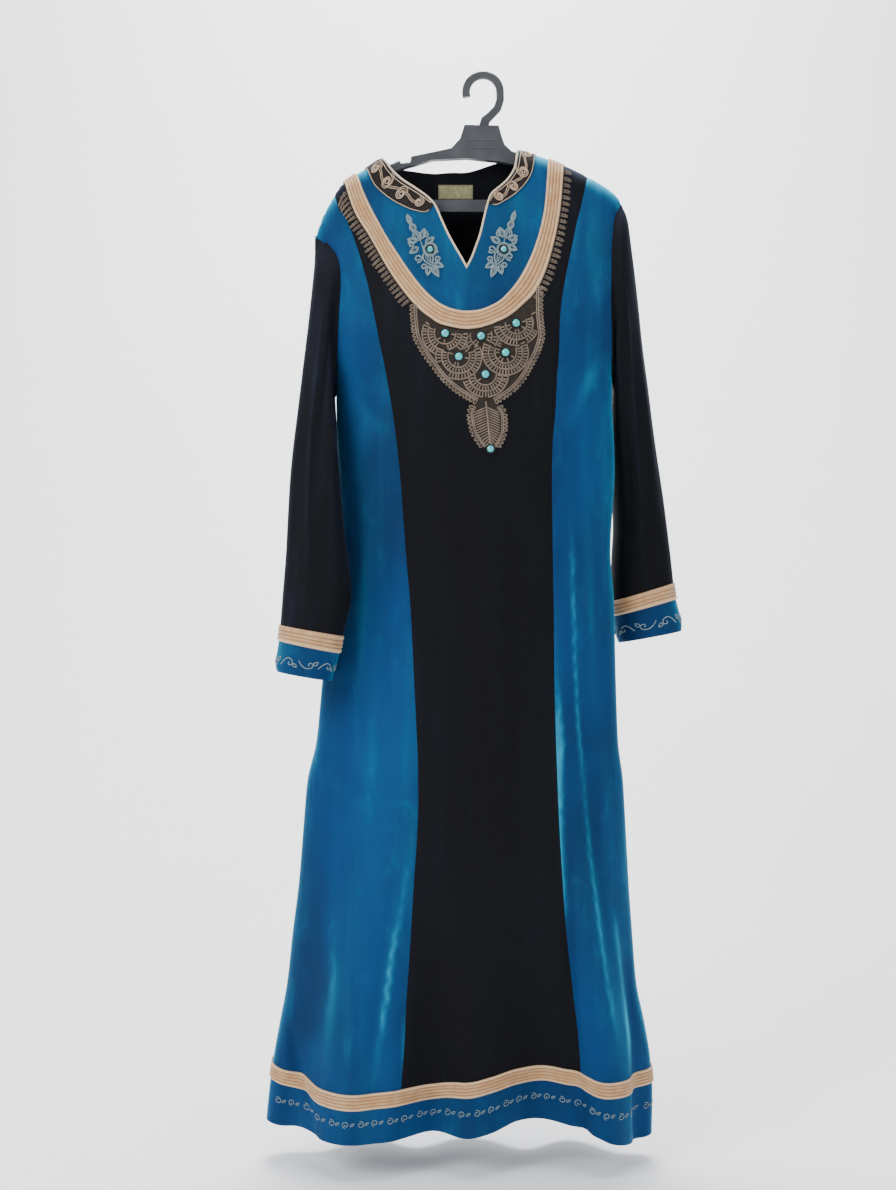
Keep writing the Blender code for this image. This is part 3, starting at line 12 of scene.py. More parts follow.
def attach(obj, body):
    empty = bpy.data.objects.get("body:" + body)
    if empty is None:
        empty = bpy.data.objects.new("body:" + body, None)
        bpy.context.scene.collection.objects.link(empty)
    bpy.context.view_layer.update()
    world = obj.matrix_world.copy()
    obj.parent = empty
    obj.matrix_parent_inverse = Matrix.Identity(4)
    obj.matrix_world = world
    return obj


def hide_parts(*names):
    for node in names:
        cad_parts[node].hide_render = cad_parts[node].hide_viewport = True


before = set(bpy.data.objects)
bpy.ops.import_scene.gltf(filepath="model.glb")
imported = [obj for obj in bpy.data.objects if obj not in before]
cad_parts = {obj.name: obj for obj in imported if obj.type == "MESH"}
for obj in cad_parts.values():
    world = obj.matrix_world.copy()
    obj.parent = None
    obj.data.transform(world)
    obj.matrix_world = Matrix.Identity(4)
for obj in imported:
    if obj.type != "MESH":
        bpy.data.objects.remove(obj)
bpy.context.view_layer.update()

bl_info = {
    "name": "Velvet kaftan on a hanger",
    "version": (1, 0, 0),
    "blender": (4, 5, 0),
    "location": "View3D > Sidebar > Kaftan",
    "description": "Builds the kaftan's velvet, braids, embroidery and hanger, and its stage",
    "category": "Object",
}


def shade(code):
    """A colour written as six hex digits, as linear values."""
    parts = [int(code[k:k + 2], 16) / 255 for k in (0, 2, 4)]
    return tuple(c / 12.92 if c <= 0.04045 else ((c + 0.055) / 1.055) ** 2.4 for c in parts)


def length(name, about, value):
    return FloatProperty(name=name, description=about, default=value, unit="LENGTH", precision=5)


def colour(name, about, code):
    return FloatVectorProperty(name=name, description=about, default=shade(code), size=3, subtype="COLOR",
                               min=0, max=1)


class KaftanCloth(bpy.types.PropertyGroup):
    """Sizes and colours of the velvet."""
    wall: length("Thickness", "Thickness of the velvet", 0.0016)
    seam: length("Seam gap", "Gap between two pieces at a seam", 0.00004)
    seam_dip: length("Seam dip", "How deep a seam sits between its panels", 0.0011)
    across: length("Points across", "Distance between points across a panel", 0.0062)
    down: length("Points down", "Distance between points down a panel", 0.012)
    ripple: length("Ripple", "Height of the cloth's small unevenness", 0.0009)
    creases: FloatProperty(name="Creases", description="Scale of all creases", default=1.0, min=0, max=3)
    blue: colour("Blue", "Blue velvet", "003768")
    blue_light: colour("Blue, raised nap", "Blue velvet where its nap catches the light", "1d9dbd")
    black: colour("Black", "Black velvet", "04050c")
    black_light: colour("Black, raised nap", "Black velvet where its nap catches the light", "1d2438")


class KaftanTrim(bpy.types.PropertyGroup):
    """Sizes and colours of the braids, cords, threads, beads and label."""
    pile: length("Lift", "Height of a trim's underside over its panel's middle", 0.001)
    cord_low: length("Braid valley", "Height of a braid between its cords", 0.0005)
    cord_high: length("Braid crest", "Height of a braid on its cords", 0.0023)
    cords: IntProperty(name="Cords", description="Cords in a braid", default=5, min=2, max=9)
    piping: length("Piping radius", "Radius of the round piping", 0.0015)
    peach: colour("Peach", "Braid cords", "bd8d5c")
    peach_light: colour("Peach, light", "Outer cords of a braid", "d8b68e")
    cream: colour("Cream", "Neck piping", "d8c8ae")
    brown: colour("Brown", "Pendant and tick threads", "64554a")
    brown_light: colour("Brown, light", "Raised pendant threads", "97856f")
    soutache: colour("Beige", "Scrolls of the collar", "b09a86")
    collar: colour("Collar", "Cloth of the collar bands", "1d1613")
    silver: colour("Silver", "Motif threads", "74898f")
    bead: colour("Turquoise", "Beads", "27b4b8")
    label: colour("Label", "Woven neck label", "a9a67a")


class KaftanHanger(bpy.types.PropertyGroup):
    """The hanger's colour and finish."""
    plastic: colour("Plastic", "Charcoal plastic", "3e4044")
    rough: FloatProperty(name="Roughness", description="Roughness of the plastic", default=0.42, min=0,
                         max=1)
    round: length("Edge", "Rounding of the moulding's edges", 0.0009)


class KaftanStage(bpy.types.PropertyGroup):
    """The floor, the light and the camera."""
    floor: length("Floor", "Height of the floor below the hook", -1.545)
    away: length("Distance", "Distance of the camera", 2.4)
    side: length("Sideways", "Where the camera stands, from left to right", -0.05005)
    high: length("Height", "Height of the camera", -0.73788)
    lens: FloatProperty(name="Lens", description="Focal length in millimetres", default=33.85, min=10,
                        max=200)
    pale: colour("Backdrop", "Floor and backdrop", "fafbfd")


def cloth():
    return bpy.context.scene.kaftan_cloth


def trim():
    return bpy.context.scene.kaftan_trim


FRONT, BACK = -1, 1
RIDGE_R = 0.02  # rounding of the shoulder over the hanger's arm
BODY_R = 0.2  # a middling radius of the body, which turns its angles into lengths
SHOULDER_DEPTH = 0.02  # half depth of the garment at the shoulder
SIDE_POWER = 0.8  # below 1, the body is flatter in the middle and rounder at its sides
ARMHOLE_WIDEN = 0.06  # how far the body surface runs on past the armhole seam
ARMHOLE_RISE = 0.12  # the height over which it does
ROLL = 0.006  # the left shoulder seam lies this far in front of the ridge
HEM_DROP = 1.49  # the hem's drop below the hook, where the folds are at their full size
RIDGE_STEPS = (0.0045, 0.0085, 0.0125, 0.0165, 0.0205, 0.0245, 0.0285,
               0.0325)  # rows of points down the ridge
RIDGE = ("x", "z"), [
    (-0.24, -0.23), (-0.23, -0.2), (-0.216, -0.174), (-0.2, -0.15), (-0.17, -0.131),
    (-0.147, -0.116), (-0.097, -0.092), (-0.047, -0.083), (0.003, -0.087), (0.051, -0.104),
    (0.076, -0.111), (0.117, -0.126), (0.152, -0.143), (0.174, -0.156), (0.19, -0.168), (0.2, -0.184)]
# The hanging body: its outline and its princess seams, by the drop below the hook.
BODY = ("drop", "left", "left_seam", "right_seam", "right"), [
    (0.459, -0.209, -0.131, 0.102, 0.183), (0.559, -0.207, -0.118, 0.095, 0.187),
    (0.678, -0.207, -0.109, 0.096, 0.181), (0.745, -0.213, -0.103, 0.097, 0.186),
    (0.862, -0.229, -0.097, 0.098, 0.189), (0.945, -0.237, -0.093, 0.1, 0.192),
    (1.002, -0.25, -0.091, 0.102, 0.199), (1.071, -0.256, -0.093, 0.105, 0.203),
    (1.145, -0.262, -0.098, 0.11, 0.207), (1.217, -0.271, -0.102, 0.115, 0.212),
    (1.29, -0.279, -0.107, 0.122, 0.218), (1.344, -0.289, -0.11, 0.129, 0.229),
    (1.399, -0.299, -0.112, 0.134, 0.238), (1.446, -0.305, -0.113, 0.135, 0.241),
    (1.51, -0.311, -0.113, 0.136, 0.24)]
# Half depth of the body by the drop below its ridge.
DEPTH = ("drop", "half"), [
    (0.0, SHOULDER_DEPTH), (0.05, 0.026), (0.12, 0.037), (0.25, 0.054), (0.4, 0.066), (0.8, 0.074),
    (1.1, 0.08), (1.45, 0.088)]
# Folds: where they reach the hem, how wide, how far they stand out (+) or lie back (-), where they fade.
FRONT_FOLDS = ("hem_x", "width", "out", "fade_drop"), [
    (-0.27, 0.03, -0.034, 1.1), (-0.195, 0.046, 0.024, 0.9), (-0.135, 0.022, 0.008, 0.6),
    (-0.068, 0.034, -0.032, 1.15), (-0.028, 0.026, 0.01, 1.2), (0.075, 0.046, -0.046, 1.05),
    (0.155, 0.018, 0.012, 0.7), (0.185, 0.03, 0.024, 0.95), (0.224, 0.014, -0.022, 1.1)]
BACK_FOLDS = ("hem_x", "width", "out", "fade_drop"), [
    (-0.235, 0.034, -0.026, 1.0), (-0.165, 0.044, 0.024, 0.8), (-0.095, 0.036, -0.03, 1.05),
    (-0.02, 0.048, 0.018, 0.95), (0.062, 0.036, -0.032, 0.85), (0.13, 0.04, 0.022, 1.0),
    (0.196, 0.03, -0.026, 1.1)]
# The hem's lower edge in front, and the height of the blue band below the braid.
HEM = ("x", "z", "band"), [
    (-0.311, -1.483, 0.063), (-0.28, -1.489, 0.058), (-0.253, -1.487, 0.051), (-0.227, -1.493, 0.047),
    (-0.184, -1.494, 0.046), (-0.13, -1.49, 0.047), (-0.074, -1.486, 0.046), (-0.031, -1.487, 0.054),
    (0.009, -1.482, 0.056), (0.046, -1.473, 0.053), (0.093, -1.475, 0.056), (0.131, -1.48, 0.056),
    (0.155, -1.487, 0.055), (0.178, -1.498, 0.062), (0.204, -1.504, 0.069), (0.222, -1.506, 0.074),
    (0.241, -1.503, 0.073)]
BRAID_WIDE = 0.022
# Seams and edges of the upper front, from the shoulder down: left or outer side first.
LEFT_ARMHOLE = ("x", "z"), [
    (-0.2345, -0.231), (-0.229, -0.236), (-0.218, -0.242), (-0.208, -0.256), (-0.203, -0.275),
    (-0.202, -0.3), (-0.204, -0.34), (-0.206, -0.385), (-0.207, -0.425)]
RIGHT_ARMHOLE = ("x", "z"), [
    (0.1955, -0.1835), (0.191, -0.192), (0.186, -0.204), (0.184, -0.222), (0.182, -0.25), (0.181, -0.285),
    (0.18, -0.325), (0.181, -0.365), (0.182, -0.402)]
UNDERARM_LEFT, UNDERARM_RIGHT = -0.452, -0.43
LEFT_PRINCESS = ("x", "z"), [
    (-0.203, -0.193), (-0.191, -0.213), (-0.182, -0.236), (-0.173, -0.265), (-0.163, -0.301),
    (-0.154, -0.344), (-0.145, -0.389), (-0.137, -0.428)]
RIGHT_PRINCESS = ("x", "z"), [
    (0.14, -0.181), (0.133, -0.208), (0.127, -0.236), (0.116, -0.288), (0.11, -0.324),
    (0.107, -0.355), (0.106, -0.395), (0.103, -0.43)]
NECK_LEFT = ("x", "z"), [
    (-0.13, -0.137), (-0.114, -0.152), (-0.098, -0.163), (-0.082, -0.175), (-0.07, -0.188),
    (-0.062, -0.206), (-0.052, -0.229), (-0.041, -0.25), (-0.032, -0.266)]
NECK_RIGHT = ("x", "z"), [
    (0.047, -0.129), (0.037, -0.149), (0.024, -0.162), (0.012, -0.173), (0.007, -0.187),
    (0.002, -0.207), (-0.003, -0.229), (-0.01, -0.25), (-0.016, -0.266)]
SLIT_END = (-0.024, -0.281)
BACK_NECK = ("x", "z"), [
    (-0.133, -0.119), (-0.115, -0.125), (-0.09, -0.128), (-0.06, -0.129), (-0.03, -0.128),
    (-0.002, -0.122), (0.023, -0.114), (0.04, -0.106)]
COLLAR_LEFT = ("x", "z"), [
    (-0.153, -0.159), (-0.136, -0.175), (-0.118, -0.187), (-0.098, -0.196), (-0.08, -0.1985)]
COLLAR_RIGHT = ("x", "z"), [
    (0.07, -0.136), (0.062, -0.153), (0.048, -0.169), (0.032, -0.181), (0.015, -0.1885)]
BRAID_INNER = ("x", "z"), [
    (-0.165, -0.176), (-0.144, -0.218), (-0.122, -0.255), (-0.101, -0.287), (-0.084, -0.309),
    (-0.066, -0.326), (-0.047, -0.337), (-0.026, -0.341), (-0.005, -0.339), (0.016, -0.33),
    (0.037, -0.311), (0.056, -0.283), (0.07, -0.252), (0.08, -0.22), (0.086, -0.19), (0.089, -0.16)]
BRAID_OUTER = ("x", "z"), [
    (-0.183, -0.194), (-0.163, -0.228), (-0.141, -0.268), (-0.119, -0.303), (-0.098, -0.33),
    (-0.077, -0.349), (-0.054, -0.362), (-0.027, -0.367), (-0.001, -0.364), (0.026, -0.353),
    (0.053, -0.333), (0.073, -0.312), (0.088, -0.28), (0.097, -0.25), (0.104, -0.22), (0.109, -0.19),
    (0.112, -0.16)]
# Where the pieces cross the shoulder seam.
CROSS = {"left tip": -0.2395, "left princess": -0.2125, "left braid outer": -0.1985,
         "left braid inner": -0.1815, "left collar": -0.168, "left neck": -0.147,
         "right neck": 0.051, "right collar": 0.075, "right braid inner": 0.0925,
         "right braid outer": 0.115, "right princess": 0.1505, "right tip": 0.1985}
# Sleeves: outer and inner side, and the middle and half depth from front to back, in rings.
SLEEVE_COLUMNS = ("outer_x", "outer_z", "inner_x", "inner_z", "inner_y", "mid_y", "half")
LEFT_SLEEVE = SLEEVE_COLUMNS, [
    (-0.2405, -0.262, -0.2152, -0.47, -0.013, -0.002, 0.036),
    (-0.2435, -0.305, -0.2118, -0.492, -0.029, -0.008, 0.04),
    (-0.2475, -0.36, -0.207, -0.52, -0.043, -0.02, 0.042),
    (-0.2525, -0.415, -0.203, -0.55, -0.056, -0.036, 0.042),
    (-0.2585, -0.475, -0.2, -0.585, -0.063, -0.048, 0.041),
    (-0.265, -0.54, -0.1965, -0.625, -0.068, -0.058, 0.04),
    (-0.27, -0.605, -0.1925, -0.665, -0.072, -0.065, 0.039),
    (-0.2745, -0.675, -0.186, -0.706, -0.074, -0.07, 0.039),
    (-0.2785, -0.735, -0.185, -0.748, -0.076, -0.073, 0.039),
    (-0.281, -0.779, -0.196, -0.794, -0.078, -0.075, 0.039),
    (-0.2825, -0.79, -0.1985, -0.806, -0.078, -0.075, 0.039),
    (-0.2832, -0.801, -0.201, -0.818, -0.078, -0.075, 0.039),
    (-0.2875, -0.832, -0.208, -0.842, -0.078, -0.075, 0.039),
    (-0.2855, -0.843, -0.212, -0.856, -0.078, -0.075, 0.038)]
RIGHT_SLEEVE = SLEEVE_COLUMNS, [
    (0.206, -0.205, 0.189, -0.447, 0.014, 0.004, 0.036), (0.2115, -0.24, 0.188, -0.47, 0.026, 0.008, 0.04),
    (0.219, -0.285, 0.187, -0.5, 0.042, 0.018, 0.042), (0.2265, -0.335, 0.186, -0.532, 0.05, 0.03, 0.041),
    (0.234, -0.395, 0.1875, -0.567, 0.053, 0.04, 0.04),
    (0.244, -0.465, 0.1905, -0.605, 0.054, 0.046, 0.039),
    (0.256, -0.545, 0.1915, -0.642, 0.055, 0.05, 0.038),
    (0.266, -0.615, 0.1895, -0.68, 0.055, 0.052, 0.038),
    (0.273, -0.675, 0.189, -0.715, 0.055, 0.053, 0.038), (0.278, -0.72, 0.189, -0.747, 0.055, 0.054, 0.038),
    (0.28, -0.732, 0.1905, -0.759, 0.055, 0.054, 0.038),
    (0.282, -0.744, 0.1925, -0.769, 0.055, 0.054, 0.038),
    (0.29, -0.776, 0.196, -0.795, 0.055, 0.054, 0.038), (0.29, -0.79, 0.2, -0.807, 0.055, 0.054, 0.037)]
BRAID_TOP_RING, CUFF_RING, BRAID_LOW_RING = 10, 11, 12  # ring 0 is the armhole
ARM_POINTS = 10  # steps along an armhole, on each side
# Beads: centre, radius. The last two are on the yoke.
BEADS = ("x", "z", "radius"), [
    (-0.054, -0.373, 0.0066), (-0.004, -0.377, 0.0066), (0.045, -0.358, 0.0066), (-0.035, -0.406, 0.0066),
    (0.03, -0.4, 0.0066), (0.002, -0.431, 0.0066), (0.009, -0.535, 0.006),
    (0.028, -0.253, 0.0058), (-0.075, -0.253, 0.0058)]
FIRST_YOKE_BEAD = 7
# Half outline of the pendant's bib and of its leaf, by the drop from the pendant's top.
BIB_TOP = (-0.01, -0.345)
BIB_LEAN = 0.1  # the pendant hangs a little to the right
BIB = ("drop", "half"), [
    (0.0, 0.088), (0.026, 0.088), (0.05, 0.08), (0.072, 0.067), (0.09, 0.055), (0.106, 0.0395),
    (0.118, 0.022), (0.124, 0.0125)]
LEAF = ("drop", "half"), [
    (0.13, 0.0175), (0.142, 0.023), (0.163, 0.0215), (0.178, 0.015), (0.188, 0.0085)]
LABEL = {"x": -0.039, "z": -0.155, "wide": 0.05, "high": 0.02}


class Curve:
    """A smooth curve through the rows of a table that doesn't swing past them."""

    def __init__(self, table, of, by):
        names, rows = table
        self.x = np.array([row[names.index(by)] for row in rows], float)
        self.y = np.array([row[names.index(of)] for row in rows], float)
        step = np.diff(self.y) / np.diff(self.x)
        inner = np.where(step[1:] * step[:-1] > 0,
                         2 * step[1:] * step[:-1] / np.where(step[1:] + step[:-1] == 0, 1,
                                 step[1:] + step[:-1]), 0)
        self.slope = np.concatenate([[step[0]], inner, [step[-1]]])

    def __call__(self, at):
        at = min(max(at, self.x[0]), self.x[-1])
        i = min(int(np.searchsorted(self.x, at, "right")) - 1, len(self.x) - 2)
        h = self.x[i + 1] - self.x[i]
        t = (at - self.x[i]) / h
        return float(self.y[i] * (1 + 2 * t) * (1 - t) ** 2 + self.y[i + 1] * t * t * (3 - 2 * t)
                     + h * t * (1 - t) * (self.slope[i] * (1 - t) - self.slope[i + 1] * t))

    def tangent(self, at, step=0.002):
        low, high = max(at - step, self.x[0]), min(at + step, self.x[-1])
        return (self(high) - self(low)) / (high - low)


ridge = Curve(RIDGE, "z", "x")
depth = Curve(DEPTH, "half", "drop")
body_left, body_right = Curve(BODY, "left", "drop"), Curve(BODY, "right", "drop")
seam_left, seam_right = Curve(BODY, "left_seam", "drop"), Curve(BODY, "right_seam", "drop")
hem_z, hem_band = Curve(HEM, "z", "x"), Curve(HEM, "band", "x")


def ease(t):
    t = min(max(t, 0.0), 1.0)
    return t * t * (3 - 2 * t)


def edge_left(z):
    return body_left(-z) - ARMHOLE_WIDEN * ease((z - UNDERARM_LEFT) / ARMHOLE_RISE)


def edge_right(z):
    return body_right(-z) + ARMHOLE_WIDEN * ease((z - UNDERARM_RIGHT) / ARMHOLE_RISE)


def across(x, z):
    """The angle round the body, from -90 degrees at its left edge to 90 at its right."""
    left, right = edge_left(z), edge_right(z)
    return math.asin(min(max((2 * x - left - right) / (right - left), -1.0), 1.0))


def x_at(angle, z):
    left, right = edge_left(z), edge_right(z)
    return (left + right) / 2 + (right - left) / 2 * math.sin(angle)


def rounding(x):
    return RIDGE_R * math.hypot(1, ridge.tangent(x))


def arc_of(x, z):
    """How far down the cloth a height lies, measured over the rounded ridge."""
    t = max(ridge(x) - z, 0.0)
    r = rounding(x)
    return RIDGE_R * math.acos(1 - t / r) if t < r else RIDGE_R * math.pi / 2 + t - r


def z_of(x, arc):
    r, quarter = rounding(x), RIDGE_R * math.pi / 2
    return ridge(x) - (r * (1 - math.cos(arc / RIDGE_R)) if arc < quarter else r + arc - quarter)


def folds(table, x, z):
    total = 0.0
    low_left, low_right = edge_left(-HEM_DROP), edge_right(-HEM_DROP)
    left, right = edge_left(z), edge_right(z)
    for hem_x, width, out, fade in table[1]:
        start = min(max((-z - fade) / (HEM_DROP - fade), 0.0), 1.0)
        if start > 0:
            share = (hem_x - low_left) / (low_right - low_left)
            at = left + share * (right - left)
            total += out * start ** 1.4 * math.exp(-(((x - at) / width) ** 2))
    return total


def point(x, arc, side):
    """A point of the body surface. An arc below 0 lies past the ridge, on the other side."""
    if arc < 0:
        side, arc = -side, -arc
    z = z_of(x, arc)
    over = math.sin(min(arc / RIDGE_R, math.pi / 2))
    cos = math.cos(across(x, z))
    out = depth(max(ridge(x) - z, 0.0)) * cos ** SIDE_POWER * over
    out += folds(FRONT_FOLDS if side == FRONT else BACK_FOLDS, x, z) * cos ** 0.5
    return Vector((x, side * out, z))


def ring_point(angle, z, side):
    """A point of the body surface by its angle and height, which may pass over the side edge."""
    if abs(angle) > math.pi / 2:
        side, angle = -side, math.copysign(math.pi, angle) - angle
    x = x_at(angle, z)
    return point(x, arc_of(x, z), side)


def normal(x, arc, side):
    step = 0.0015
    z = z_of(x, abs(arc))
    if ridge(x) - z > 2.5 * RIDGE_R:
        angle, turn = across(x, z), step / BODY_R
        along = ring_point(angle + turn, z, side) - ring_point(angle - turn, z, side)
        up = ring_point(angle, z + step, side) - ring_point(angle, z - step, side)
    else:
        along = point(x + step, arc, side) - point(x - step, arc, side)
        up = point(x, arc - step, side) - point(x, arc + step, side)
    return (along.cross(up) * -side).normalized()


# Creases of the body: side, width, how far they stand out (+) or lie back (-), and the line they follow.
CREASES = [
    (FRONT, 0.0026, 0.0022, [(0.119, -0.6), (0.123, -0.693), (0.129, -0.884), (0.147, -1.096),
                             (0.173, -1.29),
                             (0.19, -1.375)]),
    (FRONT, 0.006, -0.003, [(0.126, -0.64), (0.136, -0.884), (0.155, -1.096), (0.181, -1.29),
                            (0.199, -1.38)]),
    (FRONT, 0.0034, 0.002, [(-0.106, -1.1), (-0.113, -1.17), (-0.124, -1.215), (-0.137, -1.308),
                            (-0.154, -1.425)]),
    (FRONT, 0.007, -0.0028, [(-0.116, -1.12), (-0.134, -1.22), (-0.149, -1.31), (-0.163, -1.42)]),
    (FRONT, 0.009, 0.003, [(0.101, -0.7), (0.106, -0.83), (0.104, -1.0), (0.108, -1.18), (0.117, -1.33)]),
    (FRONT, 0.013, -0.004, [(0.15, -0.52), (0.158, -0.72), (0.168, -0.9), (0.176, -1.05)]),
    (FRONT, 0.011, 0.0035, [(-0.172, -0.5), (-0.165, -0.64), (-0.17, -0.82), (-0.182, -0.98)]),
    (FRONT, 0.01, -0.0035, [(-0.146, -0.54), (-0.136, -0.7), (-0.134, -0.9), (-0.143, -1.08)]),
    (FRONT, 0.012, 0.003, [(-0.052, -0.56), (-0.046, -0.74), (-0.052, -0.96), (-0.06, -1.18)]),
    (FRONT, 0.014, -0.003, [(0.04, -0.6), (0.048, -0.8), (0.046, -1.0), (0.056, -1.24)]),
    (FRONT, 0.009, -0.0028, [(-0.188, -0.42), (-0.172, -0.462), (-0.148, -0.492), (-0.12, -0.506)]),
    (FRONT, 0.0085, 0.0026, [(0.164, -0.392), (0.15, -0.44), (0.128, -0.486), (0.11, -0.52)]),
    (FRONT, 0.01, -0.003, [(-0.235, -0.96), (-0.214, -0.992), (-0.188, -1.012), (-0.16, -1.022)]),
    (FRONT, 0.008, -0.0022, [(0.196, -0.985), (0.176, -1.004), (0.156, -1.01)]),
    (FRONT, 0.008, 0.0022, [(-0.222, -1.16), (-0.205, -1.26), (-0.216, -1.37), (-0.224, -1.44)]),
    (FRONT, 0.004, 0.0012, [(0.097, -0.78), (0.101, -0.92), (0.103, -1.06), (0.11, -1.21), (0.118, -1.33)]),
    (FRONT, 0.0028, 0.001, [(0.104, -0.86), (0.109, -0.96), (0.106, -1.09), (0.114, -1.19)]),
    (FRONT, 0.003, 0.0014, [(0.182, -1.18), (0.192, -1.27), (0.203, -1.36), (0.206, -1.42)]),
    (FRONT, 0.0032, 0.0014, [(-0.098, -1.26), (-0.106, -1.33), (-0.112, -1.4)]),
    (FRONT, 0.009, -0.011, [(0.112, -1.18), (0.121, -1.34), (0.129, -1.425), (0.138, -1.5), (0.15, -1.64)]),
    (FRONT, 0.007, -0.008, [(0.201, -1.25), (0.211, -1.36), (0.214, -1.43), (0.217, -1.5), (0.22, -1.6)]),
    (FRONT, 0.008, -0.008, [(-0.274, -1.34), (-0.262, -1.405), (-0.243, -1.465), (-0.225, -1.56)]),
    (FRONT, 0.003, 0.0008, [(-0.02, -0.76), (-0.018, -0.9), (-0.022, -1.12)]),
    (FRONT, 0.003, 0.0008, [(0.018, -0.64), (0.021, -0.82), (0.019, -1.01)]),
    (BACK, 0.003, 0.002, [(-0.128, -0.64), (-0.134, -0.83), (-0.15, -1.04), (-0.166, -1.26)]),
    (BACK, 0.0075, -0.0034, [(-0.118, -0.6), (-0.122, -0.84), (-0.136, -1.06), (-0.15, -1.29)]),
    (BACK, 0.011, 0.0036, [(0.142, -0.48), (0.134, -0.64), (0.14, -0.84), (0.156, -1.06)]),
    (BACK, 0.012, -0.0038, [(0.066, -0.52), (0.06, -0.74), (0.068, -0.98), (0.082, -1.2)]),
    (BACK, 0.01, 0.003, [(-0.052, -0.42), (-0.046, -0.6), (-0.052, -0.82), (-0.064, -1.06)]),
    (BACK, 0.008, -0.0026, [(-0.19, -0.43), (-0.168, -0.47), (-0.138, -0.494)]),
    (BACK, 0.008, -0.0026, [(0.166, -0.41), (0.144, -0.462), (0.112, -0.494)]),
    (BACK, 0.0036, 0.0018, [(0.17, -0.9), (0.182, -1.08), (0.196, -1.25), (0.206, -1.38)]),
    (BACK, 0.01, -0.0028, [(-0.006, -0.18), (-0.012, -0.26), (-0.008, -0.35)]),
]


DEEP_FOLD = -0.005  # folds that lie further back than this get painted shade inside
FINE_CREASE = 0.005  # narrower creases are pressed lines, whose crests get the full painted highlight
FAR = 9.0  # further than any crease reaches
SEAM_REACH = 0.022  # creases fade out over this distance to the side seams, which front and back share


def relief(x, z, side):
    """How far creases and unevenness of the cloth move places out, and the painted highlight on crease
    crests and painted shade in deep folds.
    """
    x, z = np.atleast_1d(np.asarray(x, float)), np.atleast_1d(np.asarray(z, float))
    lift, mark = np.zeros(len(x)), np.zeros(len(x))
    for where, width, out, path in CREASES:
        line = np.array(path)
        (low_x, low_z), (high_x, high_z) = line.min(axis=0) - 3 * width, line.max(axis=0) + 3 * width
        if where != side or not ((x > low_x) & (x < high_x) & (z > low_z) & (z < high_z)).any():
            continue
        size = np.concatenate([[0], np.cumsum(np.hypot(*np.diff(line, axis=0).T))])
        best, along = np.full(len(x), FAR), np.zeros(len(x))
        for (ax, az), (bx, bz), start in zip(line, line[1:], size):
            span = math.hypot(bx - ax, bz - az)
            t = np.clip(((x - ax) * (bx - ax) + (z - az) * (bz - az)) / span ** 2, 0, 1)
            gap = np.hypot(x - ax - t * (bx - ax), z - az - t * (bz - az))
            closer = gap < best
            best = np.where(closer, gap, best)
            along = np.where(closer, (start + t * span) / size[-1], along)
        fade = np.sin(np.pi * np.clip(along, 0.001, 0.999)) ** 0.7
        wander = 0.72 + 0.28 * np.sin(9.0 * along + 4000 * width + out * 900)
        shape = np.exp(-(best / width) ** 2) * fade * wander
        lift += out * shape
        # Creases that stand out get a painted highlight on their crest; deep folds get painted shade.
        if out > 0:
            mark += shape * (1.0 if width < FINE_CREASE else 0.35)
        elif out < DEEP_FOLD:
            mark -= shape * 0.8
    scale = cloth().creases
    for k in range(len(x)):
        slow = noise.noise(Vector((x[k] * 14, side * 5.3, z[k] * 4.2)))
        quick = noise.noise(Vector((x[k] * 46, side * 2.1 + 9, z[k] * 21)))
        lift[k] += cloth().ripple * (1.2 * slow + 0.35 * quick) / max(scale, 0.01)
    edge = [min(a - edge_left(b), edge_right(b) - a) for a, b in zip(x, z)]
    still = np.array([ease(gap / SEAM_REACH) for gap in edge])
    return lift * scale * still, np.clip(mark, -1, 1)


SQUEEZE_BELOW = -0.45  # below the chest a flat sheet's length is squeezed, for longer triangles
SQUEEZE = 0.45
CLEAR_OF_SEAM = 0.0022  # loose points keep this far from the seams in the flat sheet
FIRST_ROW, LAST_ROW = -0.125, -1.505  # heights of the rows of loose points
CLOSE_ROWS = -0.4  # above this height the rows lie closer together


